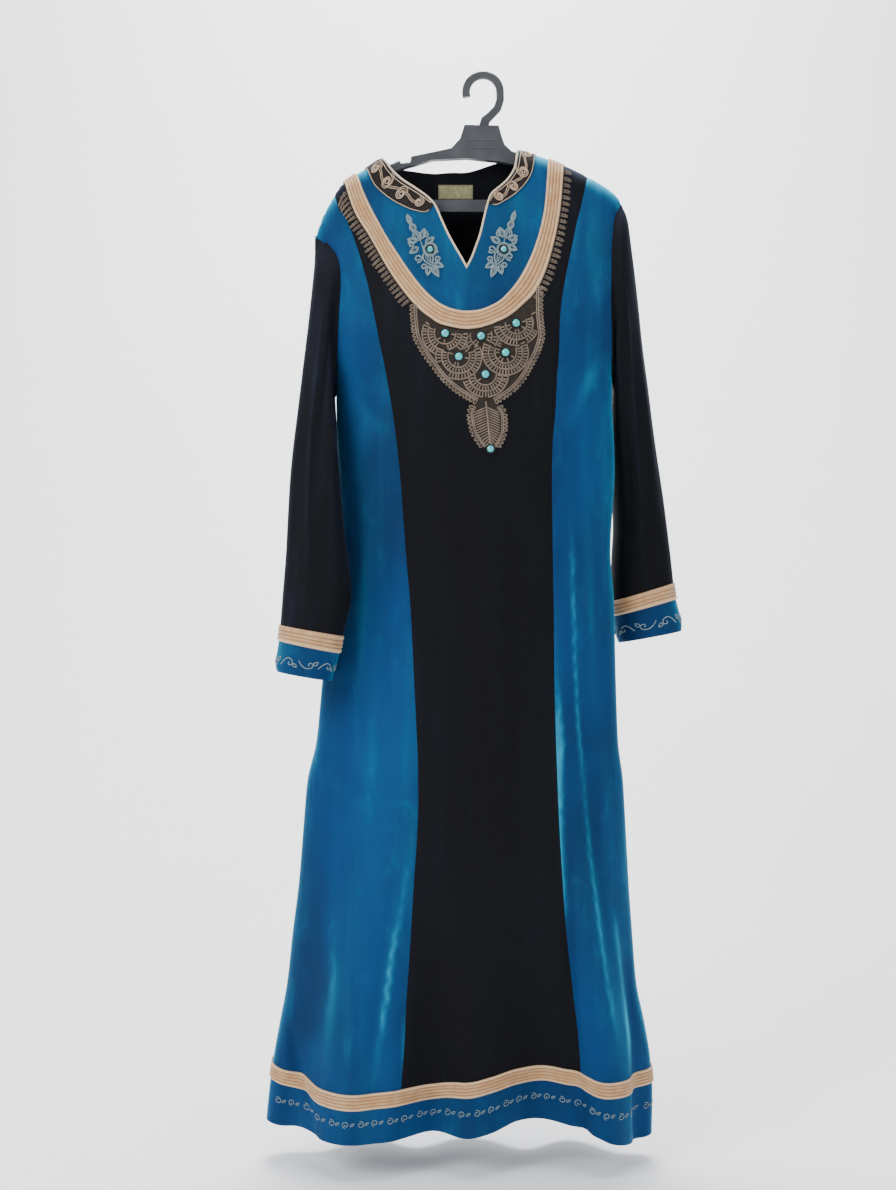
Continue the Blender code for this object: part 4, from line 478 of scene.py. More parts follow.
class Sheet:
    """The front or the back of the body, cut up by its seams and filled with fine points."""

    def __init__(self, side):
        self.side, self.flat, self.spots, self.edges, self.known, self.sunk = side, [], [], [], {}, set()

    def plane(self, x, arc):
        """Where a point lies in the sheet laid out flat, squeezed along its length below the chest."""
        w = ridge(x) - arc
        low = SQUEEZE_BELOW + (w - SQUEEZE_BELOW) * SQUEEZE
        return BODY_R * across(x, z_of(x, abs(arc))), w if w > SQUEEZE_BELOW else low

    def add(self, x, arc):
        key = (round(x, 6), round(arc, 6))
        if key not in self.known:
            self.known[key] = len(self.flat)
            self.flat.append(self.plane(x, arc))
            self.spots.append((x, arc))
        return self.known[key]

    def line(self, spots, sunk=True):
        ids = [self.add(*spot) for spot in spots]
        self.edges += [(a, b) for a, b in zip(ids, ids[1:]) if a != b]
        if sunk:
            self.sunk.update(ids)
        return ids

    def fill(self):
        """Adds rows of loose points over the ridge and down to the hem, clear of the seams."""
        flat = np.array(self.flat)
        a, b = flat[[e[0] for e in self.edges]], flat[[e[1] for e in self.edges]]
        span = np.maximum(((b - a) ** 2).sum(1), 1e-12)
        step_x, step_z = cloth().across, cloth().down
        first, last = CROSS["left tip"] + 0.005, CROSS["right tip"] - 0.001
        rows = [[(x, arc) for x in np.arange(first, last, step_x)] for arc in RIDGE_STEPS]
        if self.side == BACK:
            rows.append([(x, 0.0005) for x in np.arange(first, 0.0, step_x)])
        z, k = FIRST_ROW, 0
        while z > LAST_ROW:
            left, right = edge_left(z), edge_right(z)
            count = round((right - left) * 1.25 / step_x)
            angles = [math.pi * ((j + 0.5 * (k % 2)) / count - 0.5) for j in range(1, count)]
            row = [(x_at(a, z), z) for a in angles]
            rows.append([(x, arc_of(x, z)) for x, z in row if ridge(x) - z > 0.034])
            z -= step_z * (0.6 if z > CLOSE_ROWS else 1.0)
            k += 1
        for row in rows:
            for x, arc in row:
                here = np.array(self.plane(x, arc))
                t = np.clip(((here - a) * (b - a)).sum(1) / span, 0, 1)
                if ((here - a - t[:, None] * (b - a)) ** 2).sum(1).min() > CLEAR_OF_SEAM ** 2:
                    self.add(x, arc)

    def mesh(self):
        points = [Vector(p) for p in self.flat]
        verts, _, faces, origins, _, _ = delaunay_2d_cdt(points, self.edges, [], 0, 1e-7)
        if len(verts) != len(points):
            odd = [tuple(v) for v, o in zip(verts, origins) if not o]
            raise ValueError(f"lines of the sheet cross near {odd[:4]}")
        ids = [o[0] for o in origins]
        self.triangles = np.array([[ids[i] for i in f] for f in faces])
        self.middles = np.array(self.flat)[self.triangles].mean(axis=1)
        at = [point(x, arc, self.side) for x, arc in self.spots]
        self.out = [normal(x, arc, self.side) for x, arc in self.spots]
        lift, self.mark = relief([p.x for p in at], [p.z for p in at], self.side)
        dip = cloth().seam_dip
        self.at = [p + n * (float(h) * clear_of_ridge(arc) - (dip if k in self.sunk else 0))
                   for k, (p, n, h, (_, arc)) in enumerate(zip(at, self.out, lift, self.spots))]

    def inside(self, loop):
        ring = np.array([self.flat[i] for i in loop])
        px, py = self.middles[:, 0], self.middles[:, 1]
        hits = np.zeros(len(px), int)
        for (x0, y0), (x1, y1) in zip(ring, np.roll(ring, -1, axis=0)):
            if y0 != y1:
                crossing = (y0 > py) != (y1 > py)
                hits += crossing & (px < x0 + (py - y0) * (x1 - x0) / (y1 - y0))
        return [tuple(int(i) for i in t) for t in self.triangles[hits % 2 == 1]]


def clear_of_ridge(arc):
    """0 on the shoulder, where the cloth lies tight on the hanger, rising to 1 below it."""
    return ease((abs(arc) - 0.01) / 0.05)


def piece(name, verts, faces, material, slot, nodes=(), uvs=None, painted_crease_shadings=None, sharp=50):
    """Makes the object of one piece. uvs holds (across, along) for each of its points."""
    mesh = bpy.data.meshes.new(name)
    mesh.from_pydata([tuple(v) for v in verts], [], faces)
    if uvs is not None:
        layer = mesh.uv_layers.new(name="thread")
        corners = np.empty(len(mesh.loops), int)
        mesh.loops.foreach_get("vertex_index", corners)
        layer.data.foreach_set("uv", np.array(uvs, float)[corners].ravel())
    if painted_crease_shadings is not None:
        mesh.attributes.new("mark", "FLOAT", "POINT").data.foreach_set("value", np.array(painted_crease_shadings, float))
    bm = bmesh.new()
    bm.from_mesh(mesh)
    bmesh.ops.recalc_face_normals(bm, faces=bm.faces)
    bm.to_mesh(mesh)
    bm.free()
    mesh.shade_smooth()
    mesh.set_sharp_from_angle(angle=math.radians(sharp))
    obj = bpy.data.objects.new(name, mesh)
    obj.data.materials.append(bpy.data.materials[material])
    bpy.context.collection.objects.link(obj)
    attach(obj, "root")
    if nodes:
        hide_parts(*nodes)
    return obj


def rim(patch):
    """The open edges of a patch of faces, each with the next corner of its face."""
    seen = {}
    for face in patch:
        for i, a in enumerate(face):
            b, c = face[(i + 1) % len(face)], face[(i + 2) % len(face)]
            seen.setdefault((min(a, b), max(a, b)), []).append((a, b, c))
    return [uses[0] for uses in seen.values() if len(uses) == 1]


def layer(patch, at, out, low, thick):
    """The points and faces of a closed thin layer on a patch, and which place each point stands on."""
    used = list(dict.fromkeys(i for face in patch for i in face))
    order, n = {i: k for k, i in enumerate(used)}, len(used)
    verts = [at[i] + out[i] * low for i in used] + [at[i] + out[i] * (low + thick) for i in used]
    faces = [tuple(order[i] for i in face[::-1]) for face in patch]
    faces += [tuple(order[i] + n for i in face) for face in patch]
    faces += [(order[a], order[b], order[b] + n, order[a] + n) for a, b, _ in rim(patch)]
    return verts, faces, used * 2


def wall(name, triangles, at, out, material, slot, node, painted_crease_shadings):
    """A closed thin shell on a patch of triangles, its edge drawn back by half a seam gap."""
    thick = cloth().wall
    moved, pull = {i: at[i].copy() for t in triangles for i in t}, {}
    for a, b, c in rim(triangles):
        inward = (at[b] - at[a]).cross(out[a] + out[b]).normalized()
        if inward.dot(at[c] - at[a]) < 0:
            inward = -inward
        pull.setdefault(a, []).append(inward)
        pull.setdefault(b, []).append(inward)
    for i, ways in pull.items():
        mean = sum(ways, Vector()).normalized()
        moved[i] += mean * (cloth().seam / 2 / max(mean.dot(ways[0]), 0.4))
    verts, faces, used = layer(triangles, moved, out, -thick / 2, thick)
    return piece(name, verts, faces, material, slot, [node], painted_crease_shadings=[painted_crease_shadings[i] for i in used])


def run(spots, step=0.008, parts=None):
    """A smooth run of spots through the given ones, which it keeps, with more between them."""
    spots = np.array(spots, float)
    size = np.concatenate([[0], np.cumsum(np.maximum(np.hypot(*np.diff(spots, axis=0).T), 1e-9))])
    curves = [Curve((("s", "v"), list(zip(size, spots[:, k]))), "v", "s") for k in (0, 1)]
    result = []
    for a, b in zip(size, size[1:]):
        count = parts or max(1, round((b - a) / step))
        result += [(curves[0](a + (b - a) * k / count), curves[1](a + (b - a) * k / count))
                   for k in range(count)]
    return result + [tuple(spots[-1])]


def spots_of(table):
    return [(x, arc_of(x, z)) for x, z in table[1]]


def shoulder(name, side=FRONT):
    x = CROSS[name]
    return (x, (ROLL if side == FRONT else -ROLL) if x < 0 else 0.0)


def over_ridge(start, first):
    """The start of a line on the shoulder, with steps down the rounding towards its first own point."""
    arcs = [start[1]] + [arc for arc in RIDGE_STEPS if start[1] + 0.003 < arc < first[1] - 0.003]
    return [(start[0] + (first[0] - start[0]) * (arc - start[1]) / (first[1] - start[1]), arc)
            for arc in arcs]


def hem_spot(x, side, up):
    """The height of the hem at x, or of a line above it; the back hem is level but for small waves."""
    z, band = hem_z(x), hem_band(x)
    if side == BACK:
        rows = HEM[1]
        share = (x - rows[0][0]) / (rows[-1][0] - rows[0][0])
        wave = 0.004 * math.sin(share * math.pi * 4) * math.sin(share * math.pi)
        z = rows[0][1] * (1 - share) + rows[-1][1] * share + wave
        band = rows[0][2] * (1 - share) + rows[-1][2] * share
    return z + (0 if up is None else band + up)


def level_line(side, up, count):
    """A line across the sheet at a height over the hem, the same share of the width at each station."""
    spots = []
    for k in range(count + 1):
        angle, x, z = math.radians(-90 + 180 * k / count), 0.0, -1.45
        for _ in range(6):
            x = x_at(angle, z)
            z = hem_spot(x, side, up)
        spots.append((x, arc_of(x, z)))
    return spots


HEM_STATIONS = 120
SHEETS = {}


def build_sheet(side):
    """Lays out all seams of the front or the back and returns the sheet with its named lines."""
    sheet, lines = Sheet(side), {}
    middle = {edge: tuple(np.mean([shoulder(f"{edge} braid {k}", side) for k in ("outer", "inner")],
                                  axis=0))
              for edge in ("left", "right")}
    left = [shoulder("left tip", side), shoulder("left princess", side), middle["left"],
            shoulder("left neck", side)]
    right = [shoulder("right neck", side), middle["right"], shoulder("right princess", side),
             shoulder("right tip", side)]
    lines["shoulder_left"] = sheet.line(run(left, 0.007))
    lines["shoulder_right"] = sheet.line(run(right, 0.007))
    lines["hem"] = sheet.line(level_line(side, None, HEM_STATIONS), sunk=False)
    lines["band"] = sheet.line(level_line(side, BRAID_WIDE / 2, HEM_STATIONS))
    for edge, pick, under in (("left", 0, UNDERARM_LEFT), ("right", -1, UNDERARM_RIGHT)):
        bound = edge_left if edge == "left" else edge_right
        low = sheet.spots[lines["band"][pick]]
        stop = z_of(*low)
        heights = np.linspace(under, stop, round((under - stop) / 0.012))[:-1]
        side_spots = [(bound(z), arc_of(bound(z), z)) for z in heights] + [low]
        lines["side_" + edge] = sheet.line(side_spots)
        hem_end = sheet.spots[lines["hem"][pick]]
        heights = np.linspace(stop, z_of(*hem_end), 7)[1:-1]
        lines["side_low_" + edge] = sheet.line([low] + [(bound(z), arc_of(bound(z), z)) for z in heights]
                + [hem_end])
        arm = spots_of(LEFT_ARMHOLE if edge == "left" else RIGHT_ARMHOLE)
        lines["armhole_" + edge] = sheet.line(run([shoulder(edge + " tip", side)] + arm + [side_spots[0]],
                parts=4))
        upper = spots_of(LEFT_PRINCESS if edge == "left" else RIGHT_PRINCESS)
        curve = seam_left if edge == "left" else seam_right
        near = min(lines["band"], key=lambda i: abs(sheet.spots[i][0] - curve(1.43)))
        heights = np.arange(-0.475, z_of(*sheet.spots[near]) + 0.025, -0.055)
        seam = over_ridge(shoulder(edge + " princess", side), upper[0]) + upper
        seam += [(curve(-z), arc_of(curve(-z), z)) for z in heights] + [sheet.spots[near]]
        lines["princess_" + edge] = sheet.line(run(seam, 0.01))
    if side == FRONT:
        slit = (SLIT_END[0], arc_of(*SLIT_END))
        for edge, neck in (("left", NECK_LEFT), ("right", NECK_RIGHT)):
            lines["neck_" + edge] = sheet.line(run([shoulder(edge + " neck")] + spots_of(neck) + [slit],
                    0.006), sunk=False)
        lines["yoke"] = sheet.line(run(braid_line("middle"), 0.007))
    else:
        back = [shoulder("left neck", side)] + spots_of(BACK_NECK) + [shoulder("right neck", side)]
        lines["neck"] = sheet.line(run(back, 0.006), sunk=False)
    sheet.fill()
    sheet.mesh()
    return sheet, lines


def braid_line(which):
    """The yoke braid's inner, middle or outer line, from the left shoulder round to the right."""
    ends = {k: (shoulder(f"left braid {k}"), shoulder(f"right braid {k}")) for k in ("inner", "outer")}
    rows = {"inner": BRAID_INNER, "outer": BRAID_OUTER}
    both = {}
    for k in ("inner", "outer"):
        spots = np.array([ends[k][0]] + spots_of(rows[k]) + [ends[k][1]])
        size = np.concatenate([[0], np.cumsum(np.hypot(*np.diff(spots, axis=0).T))])
        curves = [Curve((("s", "v"), list(zip(size, spots[:, j]))), "v", "s") for j in (0, 1)]
        both[k] = [(curves[0](s * size[-1]), curves[1](s * size[-1])) for s in np.linspace(0, 1, 41)]
    if which == "middle":
        return [tuple((np.array(a) + b) / 2) for a, b in zip(both["inner"], both["outer"])]
    return both[which]


def between(line, first, last):
    """The part of a line of points from one of its points to another."""
    a, b = line.index(first), line.index(last)
    return line[a:b + 1] if a <= b else line[b:a + 1][::-1]


def build_body(side):
    """The panels and the hem band of one side, each a thin shell on the shared surface."""
    sheet, lines = build_sheet(side)
    SHEETS[side] = sheet, lines
    left, right = lines["shoulder_left"], lines["shoulder_right"]
    pl, pr, band, hem = lines["princess_left"], lines["princess_right"], lines["band"], lines["hem"]
    word = "front" if side == FRONT else "back"
    if side == FRONT:
        yoke = lines["yoke"]
        top = between(left, pl[0], yoke[0])[1:] + yoke[1:]
        neck = lines["neck_left"] + lines["neck_right"][::-1][1:]
        loop = between(left, yoke[0], neck[0]) + neck[1:] + between(right, neck[-1],
                yoke[-1])[1:] + yoke[::-1][1:-1]
        wall("yoke_velvet", sheet.inside(loop), sheet.at, sheet.out, "Blue velvet", "blue_velvet", "yoke",
             sheet.mark)
    else:
        top = between(left, pl[0], left[-1])[1:] + lines["neck"][1:]
    loops = {
        "side_left": between(left, left[0], pl[0]) + pl[1:] + between(band, pl[-1], band[0])[1:]
        + lines["side_left"][::-1][1:] + lines["armhole_left"][::-1][1:-1],
        "side_right": between(right, pr[0], right[-1]) + lines["armhole_right"][1:]
             + lines["side_right"][1:]
        + between(band, band[-1], pr[-1])[1:] + pr[::-1][1:-1],
        "centre": pl[::-1] + top + between(right, top[-1], pr[0])[1:] + pr[1:]
             + between(band, pr[-1], pl[-1])[1:-1]}
    for part, loop in loops.items():
        kind = "Black velvet" if part == "centre" else "Blue velvet"
        wall(f"{word}_{part}_velvet", sheet.inside(loop), sheet.at, sheet.out, kind,
             kind.lower().replace(" ", "_"),
             f"{word}_{part}", sheet.mark)
    loop = band + lines["side_low_right"][1:-1] + hem[::-1] + lines["side_low_left"][::-1][1:-1]
    wall(f"hem_band_{word}_velvet", sheet.inside(loop), sheet.at, sheet.out, "Blue velvet", "blue_velvet",
         f"hem_band_{word}", sheet.mark)


# Creases of the sleeves: sleeve, turn round it (0 outer edge, 0.25 front, 0.5 inner edge), width, out,
# share down from, to.
SLEEVE_CREASES = ("sleeve", "turn", "turn_low", "width", "out", "start", "stop"), [
    ("right", 0.2, 0.26, 0.0035, 0.0026, 0.1, 0.92), ("right", 0.27, 0.33, 0.01, -0.0032, 0.14, 0.86),
    ("right", 0.12, 0.15, 0.012, 0.003, 0.3, 0.8), ("right", 0.36, 0.3, 0.01, 0.0028, 0.02, 0.34),
    ("right", 0.7, 0.76, 0.011, -0.0034, 0.08, 0.7), ("right", 0.82, 0.78, 0.009, 0.0028, 0.4, 0.95),
    ("left", 0.3, 0.24, 0.011, -0.0034, 0.08, 0.62), ("left", 0.18, 0.21, 0.0045, 0.0024, 0.16, 0.88),
    ("left", 0.38, 0.35, 0.009, 0.0028, 0.2, 0.84), ("left", 0.14, 0.12, 0.01, -0.0026, 0.45, 0.93),
    ("left", 0.72, 0.68, 0.011, 0.0032, 0.1, 0.64), ("left", 0.8, 0.84, 0.01, -0.003, 0.36, 0.92)]
SLEEVE_PARTS = 5  # rings between two rows of a sleeve's table
ROUND = ARM_POINTS * 8  # points round a sleeve
GIRTH = 0.3  # a sleeve's length round, which turns its creases' turns into lengths
TUBES = {}


def refine(rings, parts):
    """More rings between the given ones, along smooth lines through their points."""
    rings = np.array([[tuple(p) for p in ring] for ring in rings])
    fine = []
    for r in range(len(rings) - 1):
        a, b = rings[r], rings[r + 1]
        before = rings[r - 1] if r else 2 * a - b
        after = rings[r + 2] if r + 2 < len(rings) else 2 * b - a
        for k in range(parts):
            t = k / parts
            fine.append(0.5 * (2 * a + (b - before) * t + (2 * before - 5 * a + 4 * b - after) * t ** 2
                               + (3 * a - before - 3 * b + after) * t ** 3))
    fine.append(rings[-1])
    return [[Vector(p) for p in ring] for ring in fine]


def build_sleeve(edge):
    """A sleeve lofted from its armhole to the cuff: all its rings of points and their directions."""
    front, front_lines = SHEETS[FRONT]
    back, back_lines = SHEETS[BACK]
    rear = back_lines["armhole_" + edge][::-1][1:-1]
    hole = [(front.at[i], front.out[i]) for i in front_lines["armhole_" + edge]]
    hole += [(back.at[i], back.out[i]) for i in rear]
    count, outward = ROUND, 1 if edge == "right" else -1
    top, bottom = hole[0][0], hole[count // 2][0]
    circle = [(math.cos(2 * math.pi * k / count), math.sin(2 * math.pi * k / count)) for k in range(count)]
    start = [(top + bottom) / 2 + (top - bottom) / 2 * cos for cos, _ in circle]
    rings = []
    for k, row in enumerate((RIGHT_SLEEVE if edge == "right" else LEFT_SLEEVE)[1]):
        outer_x, outer_z, inner_x, inner_z, inner_y, mid_y, half = row
        outer, inner = Vector((outer_x, mid_y, outer_z)), Vector((inner_x, inner_y, inner_z))
        middle, reach = (outer + inner) / 2, (outer - inner) / 2
        fade = max(0.0, 1 - (k + 1) / 5) ** 1.5
        ring = []
        for (cos, sin), first, flat in zip(circle, hole, start):
            bow = Vector((0, (mid_y - middle.y) * (1 - cos * cos) - half
                          * math.copysign(abs(sin) ** 0.85, sin), 0))
            bulge = Vector((first[0].x - flat.x, 0, first[0].z - flat.z))
            ring.append(middle + reach * cos + bow + bulge * fade)
        rings.append(ring)
    first = []
    for j, (p, n) in enumerate(hole):
        away = (hole[(j + 1) % count][0] - hole[j - 1][0]).cross(n).normalized()
        if away.dot(Vector((outward, 0, 0))) < 0 and abs(away.x) > 0.3 or abs(away.x) <= 0.3 and away.z < 0:
            away = -away
        turn_back = ease((0.35 - (rings[0][j] - p).normalized().dot(away)) / 0.5)
        first.append(p + away * 0.0003 + n * (0.0018 * turn_back + cloth().seam_dip * 0.5))
    rings.insert(0, first)
    rings = refine(rings, SLEEVE_PARTS)
    out = ring_normals(rings)
    painted_crease_shadings = [[0.0] * count for _ in rings]
    for r, ring in enumerate(rings):
        share = r / (CUFF_RING * SLEEVE_PARTS)
        for j in range(count):
            lift = 0.0
            for sleeve, turn, turn_low, width, high, begin, stop in SLEEVE_CREASES[1]:
                if sleeve != edge or not begin < share < stop:
                    continue
                t = (share - begin) / (stop - begin)
                gap = abs((j / count - turn - (turn_low - turn) * t + 0.5) % 1 - 0.5) * GIRTH
                shape = math.exp(-(gap / width) ** 2) * math.sin(math.pi * t) ** 0.6
                lift += high * shape
                # Sleeve creases that stand out get a painted highlight on their crest.
                if high > 0:
                    painted_crease_shadings[r][j] = min(1.0, painted_crease_shadings[r][j] + shape * (1 if width < FINE_CREASE else 0.3))
            p = ring[j]
            soft = noise.noise(Vector((p.x * 22, p.y * 22 + outward * 7, p.z * 8)))
            settle = ease(share / 0.06) * (1 if share < 1 else 0.35)
            ring[j] = p + out[r][j] * ((lift + 0.0014 * soft) * settle)
    TUBES[edge] = rings, out
    at, flat_out = [p for ring in rings for p in ring], [n for ring in out for n in ring]
    flat_painted_crease_shadings, cuff = [m for row in painted_crease_shadings for m in row], CUFF_RING * SLEEVE_PARTS
    pieces = (("sleeve", 0, cuff, "Black velvet"), ("cuff", cuff, len(rings) - 1, "Blue velvet"))
    for node, low, high, kind in pieces:
        triangles = []
        for r in range(low, high):
            for j in range(count):
                a, b = r * count + j, r * count + (j + 1) % count
                triangles += [(a, b, b + count), (a, b + count, a + count)]
        wall(f"{node}_{edge}_velvet", triangles, at, flat_out, kind, kind.lower().replace(" ", "_"),
             f"{node}_{edge}", flat_painted_crease_shadings)


def ring_normals(rings):
    count, out = len(rings[0]), []
    for r, ring in enumerate(rings):
        low, high = rings[max(r - 1, 0)], rings[min(r + 1, len(rings) - 1)]
        middle = sum(ring, Vector()) / count
        row = [(ring[(j + 1) % count] - ring[j - 1]).cross(high[j] - low[j]).normalized()
               for j in range(count)]
        if sum(n.dot(p - middle) for n, p in zip(row, ring)) < 0:
            row = [-n for n in row]
        out.append(row)
    return out


def on_spot(x, arc, side=FRONT):
    """A place of the finished cloth, by how far down it lies, and its direction."""
    p, n = point(x, arc, side), normal(x, arc, side)
    lift, _ = relief(p.x, p.z, side)
    return p + n * (float(lift[0]) * clear_of_ridge(arc)), n


def on_body(x, z, side=FRONT):
    """A place of the finished cloth, by its height, and its direction."""
    return on_spot(x, arc_of(x, z), side)


def raised(places, by):
    """Places moved out along their own directions."""
    return [(p + n * by, n) for p, n in places]


def on_sleeve(edge, turn, down):
    """A place on a sleeve by its turn round it and its row, both with fractions, and its direction."""
    rings, out = TUBES[edge]
    r = min(max(down * SLEEVE_PARTS, 0), len(rings) - 1.0001)
    j, low = (turn % 1) * ROUND, int(r)
    k, s, t = int(j) % ROUND, r - low, j - int(j)
    corners = ((low, k, (1 - s) * (1 - t)), (low, (k + 1) % ROUND, (1 - s) * t),
               (low + 1, k, s * (1 - t)), (low + 1, (k + 1) % ROUND, s * t))
    p = sum((rings[a][b] * share for a, b, share in corners), Vector())
    n = sum((out[a][b] * share for a, b, share in corners), Vector()).normalized()
    return p, n


CORD_POINTS = 6  # points across one cord of a braid
SUNK = 0.0006  # how far a braid's underside lies below its panel's lift


def braid(name, rows, cords, node, closed=False):
    """A braid of parallel cords. Each row holds places and directions across it."""
    low, high, pile = trim().cord_low, trim().cord_high, trim().pile
    per = CORD_POINTS
    wide = cords * per + 1
    verts, faces, uvs, along = [], [], [], 0.0
    for r, row in enumerate(rows):
        middle = row[len(row) // 2][0]
        if r:
            along += (middle - last).length
        last = middle
        top, base = [], []
        for j in range(wide):
            f = j / (wide - 1) * (len(row) - 1)
            i = min(int(f), len(row) - 2)
            t = f - i
            p, n = row[i][0].lerp(row[i + 1][0], t), row[i][1].lerp(row[i + 1][1], t).normalized()
            arch = abs(math.sin(math.pi * j / per)) ** 0.75
            top.append(p + n * (pile + low + (high - low) * arch))
            base.append(p + n * (pile - SUNK))
        verts += top + [base[0], base[-1]]
        uvs += [(j / per, along) for j in range(wide)] + [(0, along), (cords, along)]
    size = wide + 2
    for r in range(len(rows) if closed else len(rows) - 1):
        a, b = r * size, (r + 1) % len(rows) * size
        faces += [(a + j, b + j, b + j + 1, a + j + 1) for j in range(wide - 1)]
        faces += [(a, a + wide, b + wide, b), (a + wide - 1, b + wide - 1, b + wide + 1, a + wide + 1),
                  (a + wide, a + wide + 1, b + wide + 1, b + wide)]
    if not closed:
        for a in (0, (len(rows) - 1) * size):
            faces.append([a + j for j in range(wide)] + [a + wide + 1, a + wide])
    return piece(name, verts, faces, "Braid", "peach_cord", [node], uvs=uvs)


def yoke_rows():
    """Rows across the yoke braid, from its inner to its outer edge."""
    inner, outer = run(braid_line("inner"), parts=5), run(braid_line("outer"), parts=5)
    rows = []
    for a, b in zip(inner, outer):
        rows.append([on_spot(a[0] + (b[0] - a[0]) * t, a[1] + (b[1] - a[1]) * t)
                     for t in (0, 0.25, 0.5, 0.75, 1)])
    return rows


HEM_ROWS, CUFF_ROWS = 170, 160  # rows along a hem braid and round a cuff braid


def hem_rows(side):
    """Rows across the hem braid, from its lower to its upper edge."""
    levels = [level_line(side, BRAID_WIDE * t, HEM_ROWS) for t in (0, 0.33, 0.67, 1)]
    return [[on_spot(*level[k], side) for level in levels] for k in range(HEM_ROWS + 1)]


def cuff_rows(edge):
    """Rows across a cuff braid, all round, from its lower to its upper edge."""
    levels = np.linspace(BRAID_LOW_RING, BRAID_TOP_RING, 4)
    return [[on_sleeve(edge, k / CUFF_ROWS, down) for down in levels] for k in range(CUFF_ROWS)]


def build_braids():
    cords = trim().cords
    braid("yoke_cords", yoke_rows(), cords, "yoke_braid")
    braid("hem_cords_front", hem_rows(FRONT), cords, "hem_braid_front")
    braid("hem_cords_back", hem_rows(BACK), cords, "hem_braid_back")
    for edge in ("left", "right"):
        braid(f"cuff_cords_{edge}", cuff_rows(edge), cords - 1, f"cuff_braid_{edge}", closed=True)


class Threads:
    """Round threads laid on the cloth, gathered into one piece."""

    def __init__(self, sides=5):
        self.verts, self.faces, self.uvs, self.sides = [], [], [], sides

    def lay(self, path, radius, closed=False, taper=0.0):
        """Adds a thread along places and directions. taper thins both its ends."""
        places = [p for p, _ in path]
        count, along, first = len(path), 0.0, len(self.verts)
        for k, (p, n) in enumerate(path):
            a = places[k - 1] if k or closed else places[0]
            b = places[(k + 1) % count] if k + 1 < count or closed else places[-1]
            side = n.cross(b - a).normalized()
            if k:
                along += (p - places[k - 1]).length
            share = k / max(count - 1, 1)
            r = radius * (1 - taper * (1 - math.sin(math.pi * share) ** 0.5))
            for j in range(self.sides):
                turn = 2 * math.pi * j / self.sides
                self.verts.append(p + side * (r * math.cos(turn)) + n * (r * math.sin(turn)))
                self.uvs.append((j / self.sides, along))
        for k in range(count if closed else count - 1):
            a, b = first + k * self.sides, first + (k + 1) % count * self.sides
            for j in range(self.sides):
                i = (j + 1) % self.sides
                self.faces.append((a + j, a + i, b + i, b + j))
        if not closed:
            self.faces.append([first + j for j in range(self.sides)])
            self.faces.append([len(self.verts) - self.sides + j for j in range(self.sides)][::-1])

    def make(self, name, material, slot, nodes=()):
        return piece(name, self.verts, self.faces, material, slot, nodes, uvs=self.uvs)


def build_piping():
    """The round piping along the front neckline."""
    sheet, lines = SHEETS[FRONT]
    neck = lines["neck_left"] + lines["neck_right"][::-1][1:]
    places = [sheet.at[i] for i in neck]
    radius, path = trim().piping, []
    for k, i in enumerate(neck):
        a, b = places[max(k - 1, 0)], places[min(k + 1, len(neck) - 1)]
        inward = sheet.out[i].cross(b - a).normalized()
        path.append((places[k] + inward * (radius * 0.9) + sheet.out[i] * 0.0006, sheet.out[i]))
    threads = Threads(sides=10)
    threads.lay(path, radius)
    threads.make("neck_piping_cord", "Piping", "cream_piping", ["neck_piping"])


def on_front(path, lift):
    """Flat points of the front as places of the cloth, moved out by lift, with their directions."""
    return raised((on_body(x, z) for x, z in path), lift)


def offset_line(points, by):
    """Flat points moved sideways, to the left of the way they run."""
    points = np.array(points, float)
    way = np.gradient(points, axis=0)
    way /= np.maximum(np.hypot(*way.T), 1e-9)[:, None]
    return [tuple(p) for p in points + np.stack([-way[:, 1], way[:, 0]], axis=1) * by]


def spiral(centre, start, end, turn, turns, count=26):
    """A flat spiral from radius start to radius end round its centre, from the angle turn."""
    return [(centre[0] + r * math.cos(a), centre[1] + r * math.sin(a)) for r, a in
            ((start + (end - start) * t ** 0.8, turn + 2 * math.pi * turns * t)
             for t in np.linspace(0, 1, count))]


def almond(base, tip, half, count=9):
    """A closed leaf shape from its base to its tip."""
    a, b = Vector(base), Vector(tip)
    side = Vector((-(b - a).y, (b - a).x)).normalized()
    shares = [k / count for k in range(count)]
    left = [a.lerp(b, t) + side * half * math.sin(math.pi * t ** 0.8) for t in shares]
    right = [a.lerp(b, 1 - t) - side * half * math.sin(math.pi * (1 - t) ** 0.8) for t in shares]
    return [tuple(p) for p in left + right]


def flat_ground(name, outline, material, slot, nodes, low, thick, fill):
    """A thin piece laid on the front inside a closed flat outline."""
    ring = [Vector(p) for p in outline]
    low_x, high_x = min(p.x for p in ring), max(p.x for p in ring)
    low_z, high_z = min(p.y for p in ring), max(p.y for p in ring)
    spots = list(ring)
    tree = np.array([tuple(p) for p in ring])
    for i, x in enumerate(np.arange(low_x, high_x, fill)):
        for z in np.arange(low_z + (i % 2) * fill / 2, high_z, fill):
            if np.hypot(*(tree - (x, z)).T).min() > fill * 0.45:
                spots.append(Vector((x, z)))
    edges = [(k, (k + 1) % len(ring)) for k in range(len(ring))]
    verts, _, faces, _, _, _ = delaunay_2d_cdt(spots, edges, [], 1, 1e-7)
    places = [on_body(v.x, v.y) for v in verts]
    at, out = [p for p, _ in places], [n for _, n in places]
    points, solid, _ = layer([tuple(f) for f in faces], at, out, low, thick)
    return piece(name, points, solid, material, slot, nodes)


# Scrolls of a collar band: share along it from the shoulder, offset across it, size, turn in degrees,
# which way round.
COLLAR_SCROLLS = ("along", "across", "size", "turn", "way"), [
    (0.12, 0.0005, 0.009, 200, 1), (0.34, -0.0008, 0.0104, 20, -1), (0.58, 0.0006, 0.01, 210, 1),
    (0.81, -0.0005, 0.0078, 10, -1)]


